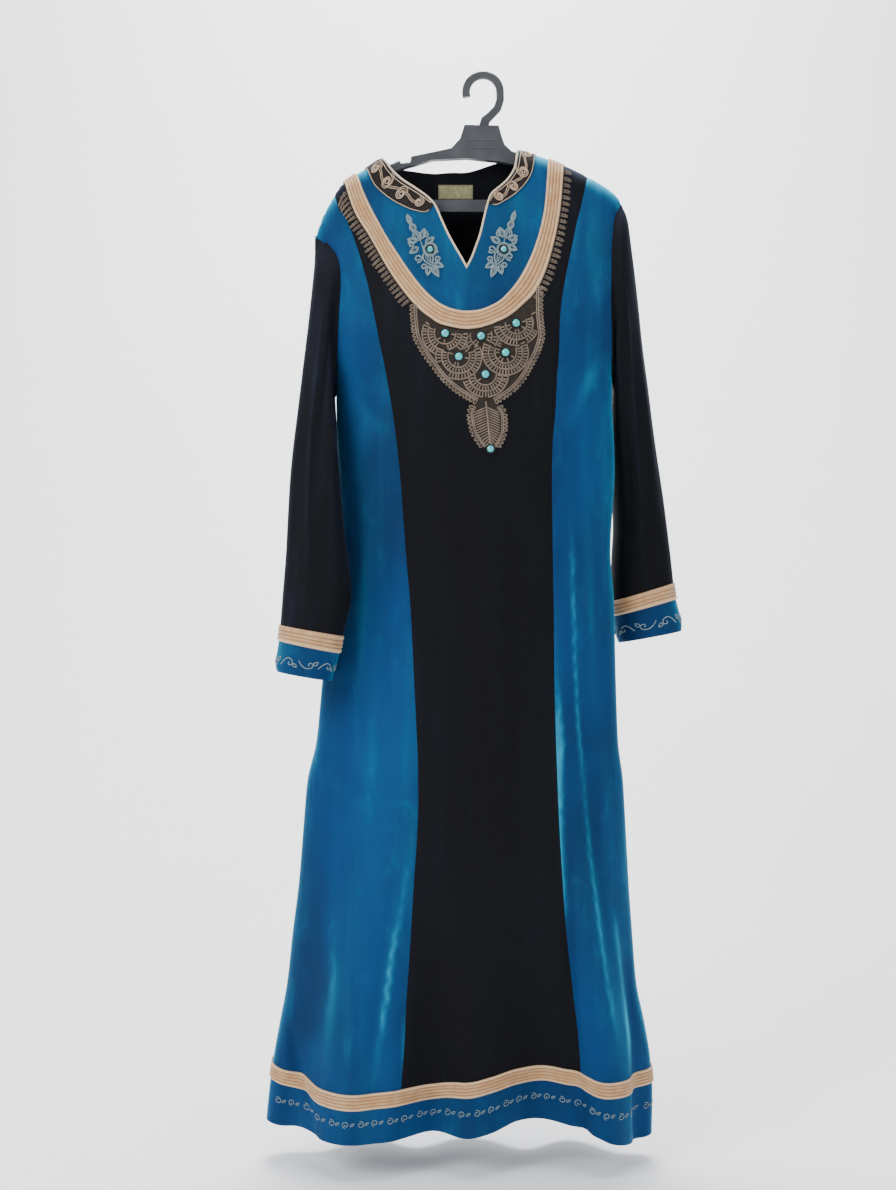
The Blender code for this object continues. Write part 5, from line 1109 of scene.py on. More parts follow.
def build_collar():
    """The collar bands with their beige scrolls and edge cords."""
    low, thick = trim().pile, 0.0011
    threads = Threads()
    for edge, neck, collar in (("left", NECK_LEFT, COLLAR_LEFT), ("right", NECK_RIGHT, COLLAR_RIGHT)):
        end = spots_of(neck)[4]
        inner = run([shoulder(f"{edge} neck")] + spots_of(neck)[:5], 0.002)
        outer = run([shoulder(f"{edge} collar")] + spots_of(collar) + [end], 0.002)
        count, wide = 44, 7
        pick = [[line[round(t * (len(line) - 1))] for t in np.linspace(0, 1, count)]
                for line in (inner, outer)]
        places = [on_spot(a[0] + (b[0] - a[0]) * t, a[1] + (b[1] - a[1]) * t)
                  for a, b in zip(*pick) for t in np.linspace(0.03, 1, wide)]
        patch = [(a, a + 1, a + wide + 1, a + wide)
                 for k in range(count - 1) for a in range(k * wide, (k + 1) * wide - 1)]
        verts, faces, _ = layer(patch, [p for p, _ in places], [n for _, n in places], low, thick)
        piece(f"collar_band_{edge}_cloth", verts, faces, "Collar cloth", "collar_cloth",
              [f"collar_band_{edge}"])
        middle = [((a[0] + b[0]) / 2, (a[1] + b[1]) / 2) for a, b in zip(*pick)]
        lift = low + thick + 0.0003
        sign = 1 if edge == "left" else -1

        def local(share, over):
            k = min(max(share, 0), 1) * (count - 1)
            i = min(int(k), count - 2)
            a, b = Vector(middle[i]), Vector(middle[i + 1])
            way = (b - a).normalized()
            return a.lerp(b, k - i) + Vector((-way.y, way.x)) * over * sign

        def flat_path(path, centre, reach):
            """Local points in metres round a share of the band, as places on its top."""
            size = sum((Vector(q) - Vector(p)).length for p, q in zip(middle, middle[1:]))
            spots = [local(centre + u / size, v + reach) for u, v in path]
            return raised((on_spot(*spot) for spot in spots), lift)

        last = None
        for along, over, size, turn, way in COLLAR_SCROLLS[1]:
            room = math.hypot(pick[0][round(along * 43)][0] - pick[1][round(along * 43)][0],
                              pick[0][round(along * 43)][1] - pick[1][round(along * 43)][1])
            size = min(size, room * 0.46)
            for shrink, thread in ((1.0, 0.00075), (0.72, 0.0006)):
                curl = spiral((0, 0), size * 0.22 * shrink, size * shrink, math.radians(turn), 1.35 * way)
                threads.lay(flat_path(curl, along, over), thread, taper=0.3)
            threads.lay(flat_path(almond((-size * 0.3, 0), (size * 0.34, size * 0.06), size * 0.26), along,
                                  over),
                        0.0008, closed=True)
            if last is not None:
                a, b = last, (along, over)
                for shift in (-0.0011, 0.0011):
                    bow = [(a[0] + (b[0] - a[0]) * t, 0.0068 * math.sin(math.pi * t) * way
                            * (1 - 2 * t) + shift + a[1] * (1 - t) + b[1] * t)
                           for t in np.linspace(0.1, 0.9, 12)]
                    spots = [local(share, v) for share, v in bow]
                    threads.lay(raised((on_spot(*s) for s in spots), lift), 0.0006, taper=0.4)
            last = (along, over)
        for line, inset in ((pick[1], 0.03), (pick[0], 0.13)):
            other = pick[0] if line is pick[1] else pick[1]
            spots = [(a[0] + (b[0] - a[0]) * inset, a[1] + (b[1] - a[1]) * inset)
                     for a, b in zip(line, other)][1:-2]
            threads.lay(raised((on_spot(*s) for s in spots), lift), 0.0006)
    threads.make("collar_scrolls", "Soutache", "brown_braid")


def yoke_outer():
    """The yoke braid's outer edge as flat points, from the left shoulder round to the right."""
    return [(x, z_of(x, arc)) for x, arc in run(braid_line("outer"), 0.003)]


TICK_FIRST, TICK_PITCH = 0.024, 0.0092  # the first tick's distance from the shoulder, and between two ticks
TICK_START, TICK_REACH = 0.001, 0.0118  # where a tick starts and ends, out from the braid's edge
TICK_HALF, TICK_CORD = 0.0017, 0.0008  # half the distance of a tick's two cords, and their radius


def build_ticks():
    """The rows of slanted ticks outside the yoke braid, and the dark cord beside it."""
    outer = run(braid_line("outer"), 0.003)
    low = max(range(len(outer)), key=lambda k: outer[k][1])
    for edge, sign, stop in (("left", -1, 0.262), ("right", 1, 0.23)):
        line = outer[:low + 1] if sign < 0 else outer[low:][::-1]
        size = np.concatenate([[0], np.cumsum(np.hypot(*np.diff(np.array(line), axis=0).T))])
        curves = [Curve((("s", "v"), list(zip(size, [p[k] for p in line]))), "v", "s") for k in (0, 1)]

        def at(s, off):
            here = Vector((curves[0](s), curves[1](s)))
            way = Vector((curves[0](s + 0.003) - curves[0](s - 0.003),
                          curves[1](s + 0.003) - curves[1](s - 0.003)))
            side = Vector((way.y, -way.x)).normalized() * sign
            return here + side * off

        threads, chance = Threads(), random.Random(11 + sign)
        for s in np.arange(TICK_FIRST, stop, TICK_PITCH):
            reach = TICK_REACH + chance.uniform(-0.0009, 0.0009)
            slant = 0.003 + chance.uniform(-0.0008, 0.0008)
            for shift in (-TICK_HALF, TICK_HALF):
                spots = [at(s + shift * (1 - 0.35 * t) - slant * t, TICK_START + (reach - TICK_START) * t)
                         for t in np.linspace(0, 1, 6)]
                threads.lay(raised((on_spot(*spot) for spot in spots), trim().pile + TICK_CORD * 0.8),
                            TICK_CORD, taper=0.35)
            for over in (0.35, 0.68):
                spots = [at(s + 0.003 * t - slant * over, reach * over + 0.0004 * t)
                         for t in (-1, -0.3, 0.3, 1)]
                threads.lay(raised((on_spot(*spot) for spot in spots), trim().pile + 0.0022), 0.0006,
                            taper=0.4)
        threads.make(f"ticks_{edge}", "Pendant thread", "brown_braid", [f"tick_trim_{edge}"])
    cord = Threads()
    spots = offset_line(run(braid_line("outer"), 0.004), 0.0008)
    cord.lay(raised((on_spot(*s) for s in spots), trim().pile + 0.0004), 0.0007)
    cord.make("yoke_edge_cord", "Collar cloth", "collar_cloth")


def lean(drop):
    return BIB_TOP[0] + BIB_LEAN * drop


def pendant_outline():
    """The pendant's right and left side as flat points, from the braid down to the leaf's tip."""
    right, left = [], []
    for table in (BIB, LEAF):
        half = Curve(table, "half", "drop")
        drops = [row[0] for row in table[1]]
        for drop in np.linspace(drops[0], drops[-1], 40 if table is BIB else 24):
            right.append((lean(drop) + half(drop), BIB_TOP[1] - drop))
            left.append((lean(drop) - half(drop), BIB_TOP[1] - drop))
    return right, left


FAN_ORDER = (3, 4, 0, 2, 5, 1)  # which bead's fan lies over which
FANS = ("low", "high", "radius"), [(0.0085, 0.0145, 0.0011), (0.0168, 0.0228, 0.0012),
                                   (0.025, 0.0315, 0.0012)]
FAN_TOP = 0.5  # a fan opens upward where the sine of the angle round its bead passes this


BIB_CORDS = (0.0012, 0.0012), (0.004, 0.001)  # the edge cords' distance from the edge, and their radius
LEAF_CORDS = (0.001, 0.001), (0.0032, 0.0008)


def build_pendant():
    """The pendant applique: ground, fans of looped stitches round the beads, cords, picots, the leaf."""
    right, left = pendant_outline()
    outer = yoke_outer()
    xs, zs = [p[0] for p in outer], [p[1] for p in outer]
    low = min(range(len(zs)), key=lambda k: zs[k])

    def braid_low(x):
        side = list(zip(xs[:low + 1], zs[:low + 1])) if x < xs[low] else list(zip(xs[low:], zs[low:]))
        side.sort()
        return float(np.interp(x, [p[0] for p in side], [p[1] for p in side]))

    def clear(x, z):
        return z < braid_low(x) + 0.004 if xs[0] < x < xs[-1] else True

    right = [p for p in right if clear(*p)]
    left = [p for p in left if clear(*p)]
    # The edges run on up to the braid.
    for side in (right, left):
        rise = braid_low(side[0][0]) - 0.0015 - side[0][1]
        if rise > 0.003:
            side[:0] = [(side[0][0], side[0][1] + rise * t) for t in (1.0, 0.5)]
    tip = (lean(0.192), BIB_TOP[1] - 0.192)
    top = [(x, braid_low(x) - 0.0022) for x in np.linspace(left[0][0], right[0][0], 24)[1:-1]]
    outline = top + right + [tip] + left[::-1]
    base = trim().pile
    flat_ground("pendant_ground", outline, "Pendant ground", "brown_braid", ["pendant_applique"], base,
                0.001, 0.0055)
    lift = base + 0.001
    ring = np.array(outline)

    def inside(x, z, edge):
        x0, y0, x1, y1 = ring[:, 0], ring[:, 1], np.roll(ring[:, 0], -1), np.roll(ring[:, 1], -1)
        crossing = (y0 > z) != (y1 > z)
        where = x0 + (z - y0) * (x1 - x0) / np.where(y1 == y0, 1, y1 - y0)
        if np.count_nonzero(crossing & (x < where)) % 2 == 0:
            return False
        return np.hypot(ring[:, 0] - x, ring[:, 1] - z).min() > edge

    beads = BEADS[1]
    threads, light, chance = Threads(), Threads(), random.Random(5)
    bib_low, far, near = BIB_TOP[1] - 0.118, 0.0322, 0.0085
    for rank, number in enumerate(FAN_ORDER):
        cx, cz, _ = beads[number]
        over = [beads[k] for k in FAN_ORDER[:rank]]

        def free(x, z):
            return (inside(x, z, 0.0052) and z > bib_low
                    and all(math.hypot(x - b[0], z - b[1]) > far
                            or z - b[1] > FAN_TOP * math.hypot(x - b[0], z - b[1]) for b in over)
                    and all(math.hypot(x - b[0], z - b[1]) > near for b in beads[:FIRST_YOKE_BEAD]))

        for low_r, high_r, radius in FANS[1]:
            count = round(2 * math.pi * (low_r + high_r) / 2 / 0.0042)
            for k in range(count):
                a = 2 * math.pi * (k + 0.5) / count + chance.uniform(-0.02, 0.02)
                spots = [(cx + r * math.cos(a), cz + r * math.sin(a))
                         for r in np.linspace(low_r, high_r, 4)]
                if math.sin(a) < FAN_TOP and all(free(*s) for s in (spots[0], spots[-1])):
                    path = on_front(spots, lift)
                    arch = (0.0002, 0.0009, 0.001, 0.0002)
                    threads.lay([(p + n * h, n) for (p, n), h in zip(path, arch)], radius, taper=0.25)
        for reach, radius in ((0.0152, 0.001), (0.0237, 0.0011), (0.032, 0.001)):
            arc, count = [], 60
            for k in range(count + 1):
                a = 2 * math.pi * k / count + math.pi / 2
                spot = (cx + reach * math.cos(a), cz + reach * math.sin(a))
                shown = math.sin(a) < FAN_TOP and free(*spot)
                if shown:
                    arc.append(spot)
                if (not shown or k == count) and len(arc) > 3:
                    light.lay(on_front(arc, lift + 0.0006), radius)
                if not shown:
                    arc = []
    for side, sign in ((right, 1), (left, -1)):
        bib = [p for p in side if p[1] > BIB_TOP[1] - 0.1245]
        leaf = [p for p in side if p[1] < BIB_TOP[1] - 0.1295]
        for part in (bib, leaf):
            line = run(part, 0.0035)
            for inset, radius in BIB_CORDS if part is bib else LEAF_CORDS:
                light.lay(on_front(offset_line(line, inset * sign * -1), lift + 0.0004), radius)
            step = 0.0056
            size = sum(math.dist(a, b) for a, b in zip(line, line[1:]))
            fine = run(part, 0.0009)
            for s in np.arange(step / 2, size, step):
                i = min(round(s / size * (len(fine) - 1)), len(fine) - 3)
                a, b = Vector(fine[max(i - 2, 0)]), Vector(fine[i + 2])
                way = (b - a).normalized()
                out = Vector((-way.y, way.x)) * sign
                loop = [tuple(Vector(fine[i]) + way * (0.0019 * math.cos(t)) + out
                              * (0.0004 + 0.0046 * math.sin(t)))
                        for t in np.linspace(0, math.pi, 6)]
                threads.lay(on_front(loop, base + 0.0005), 0.001)
    drop_top, drop_low = 0.124, 0.186
    rib = [(lean(d), BIB_TOP[1] - d) for d in np.linspace(drop_top, drop_low, 16)]
    light.lay(on_front(rib, lift + 0.0006), 0.0013, taper=0.3)
    half = Curve(LEAF, "half", "drop")
    for d in np.arange(0.132, 0.184, 0.0036):
        reach = half(min(d + 0.006, 0.188)) - 0.005
        if reach > 0.002:
            for sign in (-1, 1):
                vein = [(lean(d) + sign * reach * t, BIB_TOP[1] - d - 0.0075 * t)
                        for t in np.linspace(0.08, 1, 5)]
                threads.lay(on_front(vein, lift + 0.0003), 0.001, taper=0.3)
    threads.make("pendant_stitches", "Pendant thread", "brown_braid")
    light.make("pendant_cords", "Pendant cord", "brown_braid")


def build_beads():
    """The cut beads in their dark settings."""
    sockets = Threads(sides=6)
    for number, (x, z, radius) in enumerate(BEADS[1]):
        radius *= 0.86 if number < FIRST_YOKE_BEAD else 0.8
        p, n = on_body(x, z)
        base = p + n * (trim().pile + 0.0011)
        right = Vector((0, 0, 1)).cross(n).normalized() * -1
        up = n.cross(right)
        verts, faces, sides = [], [], 10
        profile = ((1.0, 0.0), (1.0, 0.001), (0.8, 0.0026), (0.42, 0.0036))
        for j, (share, high) in enumerate(profile):
            for k in range(sides):
                a = 2 * math.pi * (k + 0.5 * (j % 2)) / sides
                verts.append(base + (right * math.cos(a) + up * math.sin(a)) * radius * share + n * high)
        for j in range(len(profile) - 1):
            for k in range(sides):
                a, b, c, d = (j * sides + k, j * sides + (k + 1) % sides, (j + 1) * sides + k,
                              (j + 1) * sides + (k + 1) % sides)
                faces += [(a, b, c), (b, d, c)] if j % 2 == 0 else [(a, b, d), (a, d, c)]
        faces += [list(range(sides))[::-1], [len(verts) - sides + k for k in range(sides)]]
        piece(f"bead_cut_{number + 1}", verts, faces, "Turquoise", "turquoise", [f"bead_{number + 1}"],
              sharp=12)
        ring = [(base + (right * math.cos(a) + up * math.sin(a)) * (radius + 0.0007) + n * 0.0006, n)
                for a in np.linspace(0, 2 * math.pi, 20, endpoint=False)]
        sockets.lay(ring, 0.0011, closed=True)
    sockets.make("bead_settings", "Collar cloth", "collar_cloth")


# One yoke motif, in metres from its middle: leaf shapes by base, tip and half width, and curls by centre,
# size and way.
MOTIF_LEAVES = ("base_x", "base_y", "tip_x", "tip_y", "half"), [
    (0.0, 0.036, 0.001, 0.051, 0.0028), (0.0, 0.024, 0.0, 0.038, 0.004), (-0.001, 0.01, 0.0, 0.026, 0.0052),
    (0.003, 0.01, 0.014, 0.021, 0.0038), (-0.004, 0.01, -0.014, 0.018, 0.0038),
    (0.006, 0.001, 0.02, 0.004, 0.004), (-0.006, 0.001, -0.02, -0.001, 0.004),
    (0.0, -0.008, 0.0, -0.031, 0.007), (0.004, -0.03, 0.013, -0.04, 0.0036),
    (-0.004, -0.03, -0.012, -0.041, 0.0036), (0.0, -0.032, 0.001, -0.05, 0.0038)]
MOTIF_CURLS = ("x", "y", "size", "turn", "way"), [
    (0.0135, -0.012, 0.0058, 200, 1), (-0.0135, -0.0135, 0.0058, -20, -1),
    (0.0125, 0.0125, 0.0044, 150, -1), (-0.013, 0.0095, 0.0044, 30, 1), (0.0115, -0.0265, 0.0046, 160, 1),
    (-0.011, -0.028, 0.0046, 20, -1)]
MOTIF_PLACES = ("bead", "x", "z", "turn", "flip"), [(8, -0.086, -0.248, 0.46, 1),
        (7, 0.028, -0.246, -0.34, -1)]


def build_motifs():
    """The two silver arabesques of the yoke, in raised thread."""
    lift = trim().pile + 0.0006
    nodes = {1: "yoke_motif_left", -1: "yoke_motif_right"}
    for bead, x, z, turn, flip in MOTIF_PLACES[1]:
        threads = Threads()
        bx, bz, _ = BEADS[1][bead]
        cos, sin = math.cos(turn), math.sin(turn)

        def place(points):
            return [(x + flip * u * cos - v * sin, z + flip * u * sin + v * cos) for u, v in points]

        def away(points):
            return [p for p in points if math.hypot(p[0] - bx, p[1] - bz) > 0.0068]

        def thread(points, radius, closed=False, high=0.0):
            kept = away(points)
            if len(kept) > 3:
                threads.lay(on_front(kept, lift + high), radius, closed=closed and len(kept) == len(points),
                            taper=0.1)

        for ax, ay, tx, ty, half in MOTIF_LEAVES[1]:
            thread(place(almond((ax, ay), (tx, ty), half)), 0.0012, True, 0.0002)
            inner = almond((ax * 0.85 + tx * 0.15, ay * 0.85 + ty * 0.15),
                           (ax * 0.2 + tx * 0.8, ay * 0.2 + ty * 0.8), half * 0.45)
            thread(place(inner), 0.0007, True)
        for cx, cy, size, start, way in MOTIF_CURLS[1]:
            thread(place(spiral((cx, cy), size * 0.18, size, math.radians(start), 1.3 * way, 22)), 0.0012,
                   high=0.0002)
        cx, cy = (bx - x) * cos + (bz - z) * sin, -(bx - x) * sin + (bz - z) * cos
        for reach in (0.008, 0.0098):
            ring = [(flip * cx + reach * math.cos(a), cy + reach * math.sin(a))
                    for a in np.linspace(0, 2 * math.pi, 24)]
            thread(place(ring), 0.0008, high=0.0003)
        stem = [(0.0012 * math.sin(v * 160), v) for v in np.linspace(-0.046, 0.044, 26)]
        thread(place(stem), 0.0008)
        threads.make(nodes[flip].replace("yoke_motif", "arabesque"), "Silver thread", "silver_thread",
                     [nodes[flip]])


def scroll_unit(reach, high, flip):
    """One unit of a running scroll: a wave that ends in a curl, and a leaf, in (along, up)."""
    wave = [(-reach * 0.52, -high * 0.3), (-reach * 0.3, high * 0.18), (-reach * 0.05, high * 0.42),
            (reach * 0.2, high * 0.2), (reach * 0.22, -high * 0.12), (reach * 0.06, -high * 0.22),
            (-reach * 0.02, -high * 0.04), (reach * 0.05, high * 0.08)]
    leaf = almond((reach * 0.24, -high * 0.05), (reach * 0.46, -high * 0.42), high * 0.14, 6)
    return [[(u, v * flip) for u, v in run(wave, 0.0012)], [(u, v * flip) for u, v in leaf]]


def build_hem_chain():
    """The small running scroll along the hem band, all round."""
    for side, word in ((FRONT, "front"), (BACK, "back")):
        threads, pitch = Threads(sides=4), 0.02
        for k, x in enumerate(np.arange(edge_left(-1.46) + 0.016, edge_right(-1.46) - 0.01, pitch)):
            z = hem_spot(x, side, None)
            band = hem_spot(x, side, 0.0) - z
            centre = z + band * 0.6
            for path in (spiral((0, 0), 0.0012, 0.0048, 0.6 + 2.6 * (k % 2), 1.2, 14),
                         almond((0.0058, -0.0016), (0.0112, 0.002), 0.0013, 6)):
                closed = len(path) == 12
                spots = [on_body(x + u, centre + v + (hem_spot(x + u, side, 0.0) - hem_spot(x, side, 0.0))
                                 * 0.8, side)
                         for u, v in path]
                threads.lay(raised(spots, trim().pile + 0.0002), 0.0006, closed=closed)
        threads.make(f"hem_scroll_{word}", "Silver thread", "silver_thread")


def build_cuff_scroll():
    """The running scroll round each cuff."""
    for edge in ("left", "right"):
        threads, units = Threads(sides=4), 9
        for k in range(units):
            for path in scroll_unit(0.025, 0.015, 1 if k % 2 else -1):
                spots = [on_sleeve(edge, (k + 0.5) / units + u / 0.026 / units, 12.82 - v / 0.031)
                         for u, v in path]
                threads.lay(raised(spots, trim().pile + 0.0002), 0.0007, closed=len(path) == 12)
        threads.make(f"cuff_scroll_{edge}", "Silver thread", "silver_thread")


def build_label():
    """The bare woven label inside the back of the neck, its ends folded under and stitched."""
    count, rows, verts, faces = 14, 6, [], []
    for thick in (0.0012, 0.0019):
        for j in range(rows):
            for k in range(count):
                x = LABEL["x"] + LABEL["wide"] * (k / (count - 1) - 0.5)
                z = LABEL["z"] + LABEL["high"] * (j / (rows - 1) - 0.5)
                p, n = on_body(x, z, BACK)
                fold = 0.0004 * (k in (0, 1, count - 2, count - 1))
                verts.append(p - n * (thick + (fold if thick > 0.0015 else 0)))
    size = count * rows
    for j in range(rows - 1):
        for k in range(count - 1):
            a = j * count + k
            faces += [(a, a + 1, a + count + 1, a + count), (size + a, size + a + count,
                    size + a + count + 1, size + a + 1)]
    edge = [k for k in range(count)] + [j * count + count - 1 for j in range(1, rows)]
    edge += [(rows - 1) * count + k for k in range(count - 2, -1, -1)] + [j * count
            for j in range(rows - 2, 0, -1)]
    faces += [(a, b, b + size, a + size) for a, b in zip(edge, edge[1:] + edge[:1])]
    shares = [(k / (count - 1), j / (rows - 1)) for j in range(rows) for k in range(count)] * 2
    piece("label_woven", verts, faces, "Woven label", "label_cloth", ["neck_label"], uvs=shares)


class Looks:
    """One node material under construction, with short words for its nodes."""

    def __init__(self, name, rough, **values):
        self.made = bpy.data.materials.new(name)
        self.made.use_nodes = True
        self.tree = self.made.node_tree
        self.shader = self.tree.nodes["Principled BSDF"]
        self.shader.inputs["Roughness"].default_value = rough
        for key, value in values.items():
            self.shader.inputs[key.replace("_", " ")].default_value = value

    def add(self, kind, inputs=None, **settings):
        node = self.tree.nodes.new(kind)
        for key, value in settings.items():
            setattr(node, key, value)
        for key, value in (inputs or {}).items():
            if isinstance(value, bpy.types.NodeSocket):
                self.tree.links.new(value, node.inputs[key])
            else:
                node.inputs[key].default_value = value
        return node

    def place(self, scale=(1, 1, 1)):
        coords = self.add("ShaderNodeTexCoord").outputs["Object"]
        return self.add("ShaderNodeMapping", {"Vector": coords, "Scale": scale}).outputs["Vector"]

    def noise(self, scale, stretch=(1, 1, 1), detail=3.0, rough=0.55, twist=0.0):
        return self.add("ShaderNodeTexNoise", {"Vector": self.place(stretch), "Scale": scale,
                "Detail": detail,
                        "Roughness": rough, "Distortion": twist}).outputs["Fac"]

    def sums(self, kind, a, b=0.5):
        return self.add("ShaderNodeMath", {0: a, 1: b}, operation=kind).outputs[0]

    def band(self, value, low, high, to_low=0.0, to_high=1.0):
        return self.add("ShaderNodeMapRange", {"Value": value, "From Min": low, "From Max": high,
                "To Min": to_low, "To Max": to_high}).outputs["Result"]

    def mix(self, share, a, b):
        node = self.add("ShaderNodeMix", data_type="RGBA")
        for key, value in ((0, share), (6, a), (7, b)):
            if isinstance(value, bpy.types.NodeSocket):
                self.tree.links.new(value, node.inputs[key])
            else:
                node.inputs[key].default_value = (*value, 1) if key else value
        return node.outputs[2]

    def bump(self, height, strength, distance, under=None):
        inputs = {"Height": height, "Strength": strength, "Distance": distance}
        if under is not None:
            inputs["Normal"] = under
        return self.add("ShaderNodeBump", inputs).outputs["Normal"]

    def done(self, colour_socket=None, normal_socket=None, rough_socket=None):
        for key, socket in (("Base Color", colour_socket), ("Normal", normal_socket),
                            ("Roughness", rough_socket)):
            if socket is not None:
                self.tree.links.new(socket, self.shader.inputs[key])
        return self.made


def velvet(name, base, light, sheen, tint, painted_crease_weight):
    """Velvet: dark face on, with a painted sheen at a slant, painted light where it faces up, a painted
    highlight on crease crests and painted shade in deep folds, with crushed and brushed places and a fine
    nap.
    """
    looks = Looks(name, 0.78, Sheen_Weight=sheen, Sheen_Roughness=0.38, Sheen_Tint=(*tint, 1),
                  Specular_IOR_Level=0.16)
    # Painted sheen: the velvet is lighter where it is seen at a slant.
    facing = looks.add("ShaderNodeLayerWeight", {"Blend": 0.3}).outputs["Facing"]
    brushed = looks.band(looks.noise(5.0, (1.0, 1.0, 0.28), 4.0, 0.6), 0.4, 0.72)
    streak = looks.band(looks.noise(26.0, (1.0, 1.0, 0.05), 3.0, 0.6), 0.44, 0.78)
    crushed = looks.band(looks.noise(34.0, (1.0, 1.0, 0.45), 5.0, 0.72, 0.6), 0.52, 0.8)
    # Painted light: the velvet is lighter where its surface faces up.
    up = looks.add("ShaderNodeSeparateXYZ",
                   {"Vector": looks.add("ShaderNodeNewGeometry").outputs["Normal"]}).outputs["Z"]
    # The painted crease highlight and fold shade, stored on the mesh.
    mark = looks.add("ShaderNodeAttribute", attribute_name="mark").outputs["Fac"]
    share = looks.sums("POWER", facing, 1.6)
    # What makes the velvet lighter: painted sheen, random brushed, streaked and crushed nap, painted top
    # light, and the painted crease highlight and shade.
    for value, weight in ((brushed, 0.38), (streak, 0.26), (crushed, 0.26),
                          (looks.band(up, 0.0, 0.65), 0.85), (mark, painted_crease_weight)):
        share = looks.sums("ADD", share, looks.sums("MULTIPLY", value, weight))
    share = looks.band(share, 0.1, 1.3)
    tone = looks.mix(share, base, light)
    deep = looks.mix(looks.band(looks.noise(9.0, (1, 1, 0.4), 3.0), 0.35, 0.65),
                     tuple(c * 0.55 for c in base), base)
    tone = looks.mix(share, deep, tone)
    nap = looks.bump(looks.noise(1500.0, (1, 1, 0.55), 2.0), 0.3, 0.0006)
    soft = looks.bump(looks.noise(120.0, (1, 1, 0.25), 3.0), 0.22, 0.0012, nap)
    return looks.done(tone, looks.bump(crushed, 0.2, 0.0014, soft))


def twisted(name, base, light, pitch, lean, rough=0.62, cords=None):
    """Twisted cord: slanting strands along the thread's own length, some lighter than others, with painted
    shade between the strands and, on a braid, between its cords.
    """
    looks = Looks(name, rough, Sheen_Weight=0.25, Sheen_Roughness=0.5, Specular_IOR_Level=0.3)
    thread = looks.add("ShaderNodeUVMap", uv_map="thread").outputs["UV"]
    parts = looks.add("ShaderNodeSeparateXYZ", {"Vector": thread})
    turn = looks.sums("ADD", looks.sums("MULTIPLY", parts.outputs["Y"], 1 / pitch),
                      looks.sums("MULTIPLY", parts.outputs["X"], lean))
    wave = looks.sums("SINE", looks.sums("MULTIPLY", turn, 2 * math.pi))
    strand = looks.band(wave, -1, 1)
    worn = looks.band(looks.noise(60.0, (1, 1, 1), 4.0, 0.65), 0.35, 0.72)
    tone = looks.mix(looks.sums("MULTIPLY", worn, 0.7), base, light)
    # Painted shade in the valleys between the twisted strands.
    tone = looks.mix(looks.sums("MULTIPLY", looks.band(wave, 0.1, -1.0), 0.42), tone,
                     tuple(c * 0.45 for c in base))
    if cords:
        place = looks.sums("SUBTRACT", looks.sums("DIVIDE", parts.outputs["X"], cords))
        border = looks.band(looks.sums("ABSOLUTE", place), 0.3, 0.42)
        tone = looks.mix(looks.sums("MULTIPLY", border, 0.75), tone, light)
        # Painted shade in the grooves between a braid's cords.
        groove = looks.sums("ABSOLUTE", looks.sums("SINE", looks.sums("MULTIPLY", parts.outputs["X"],
                math.pi)))
        tone = looks.mix(looks.band(groove, 0.55, 0.0, 0.0, 0.62), tone, tuple(c * 0.42 for c in base))
    fibre = looks.bump(looks.noise(900.0, (1, 1, 1), 2.0), 0.25, 0.0004)
    return looks.done(tone, looks.bump(strand, 0.55, 0.0007, fibre))


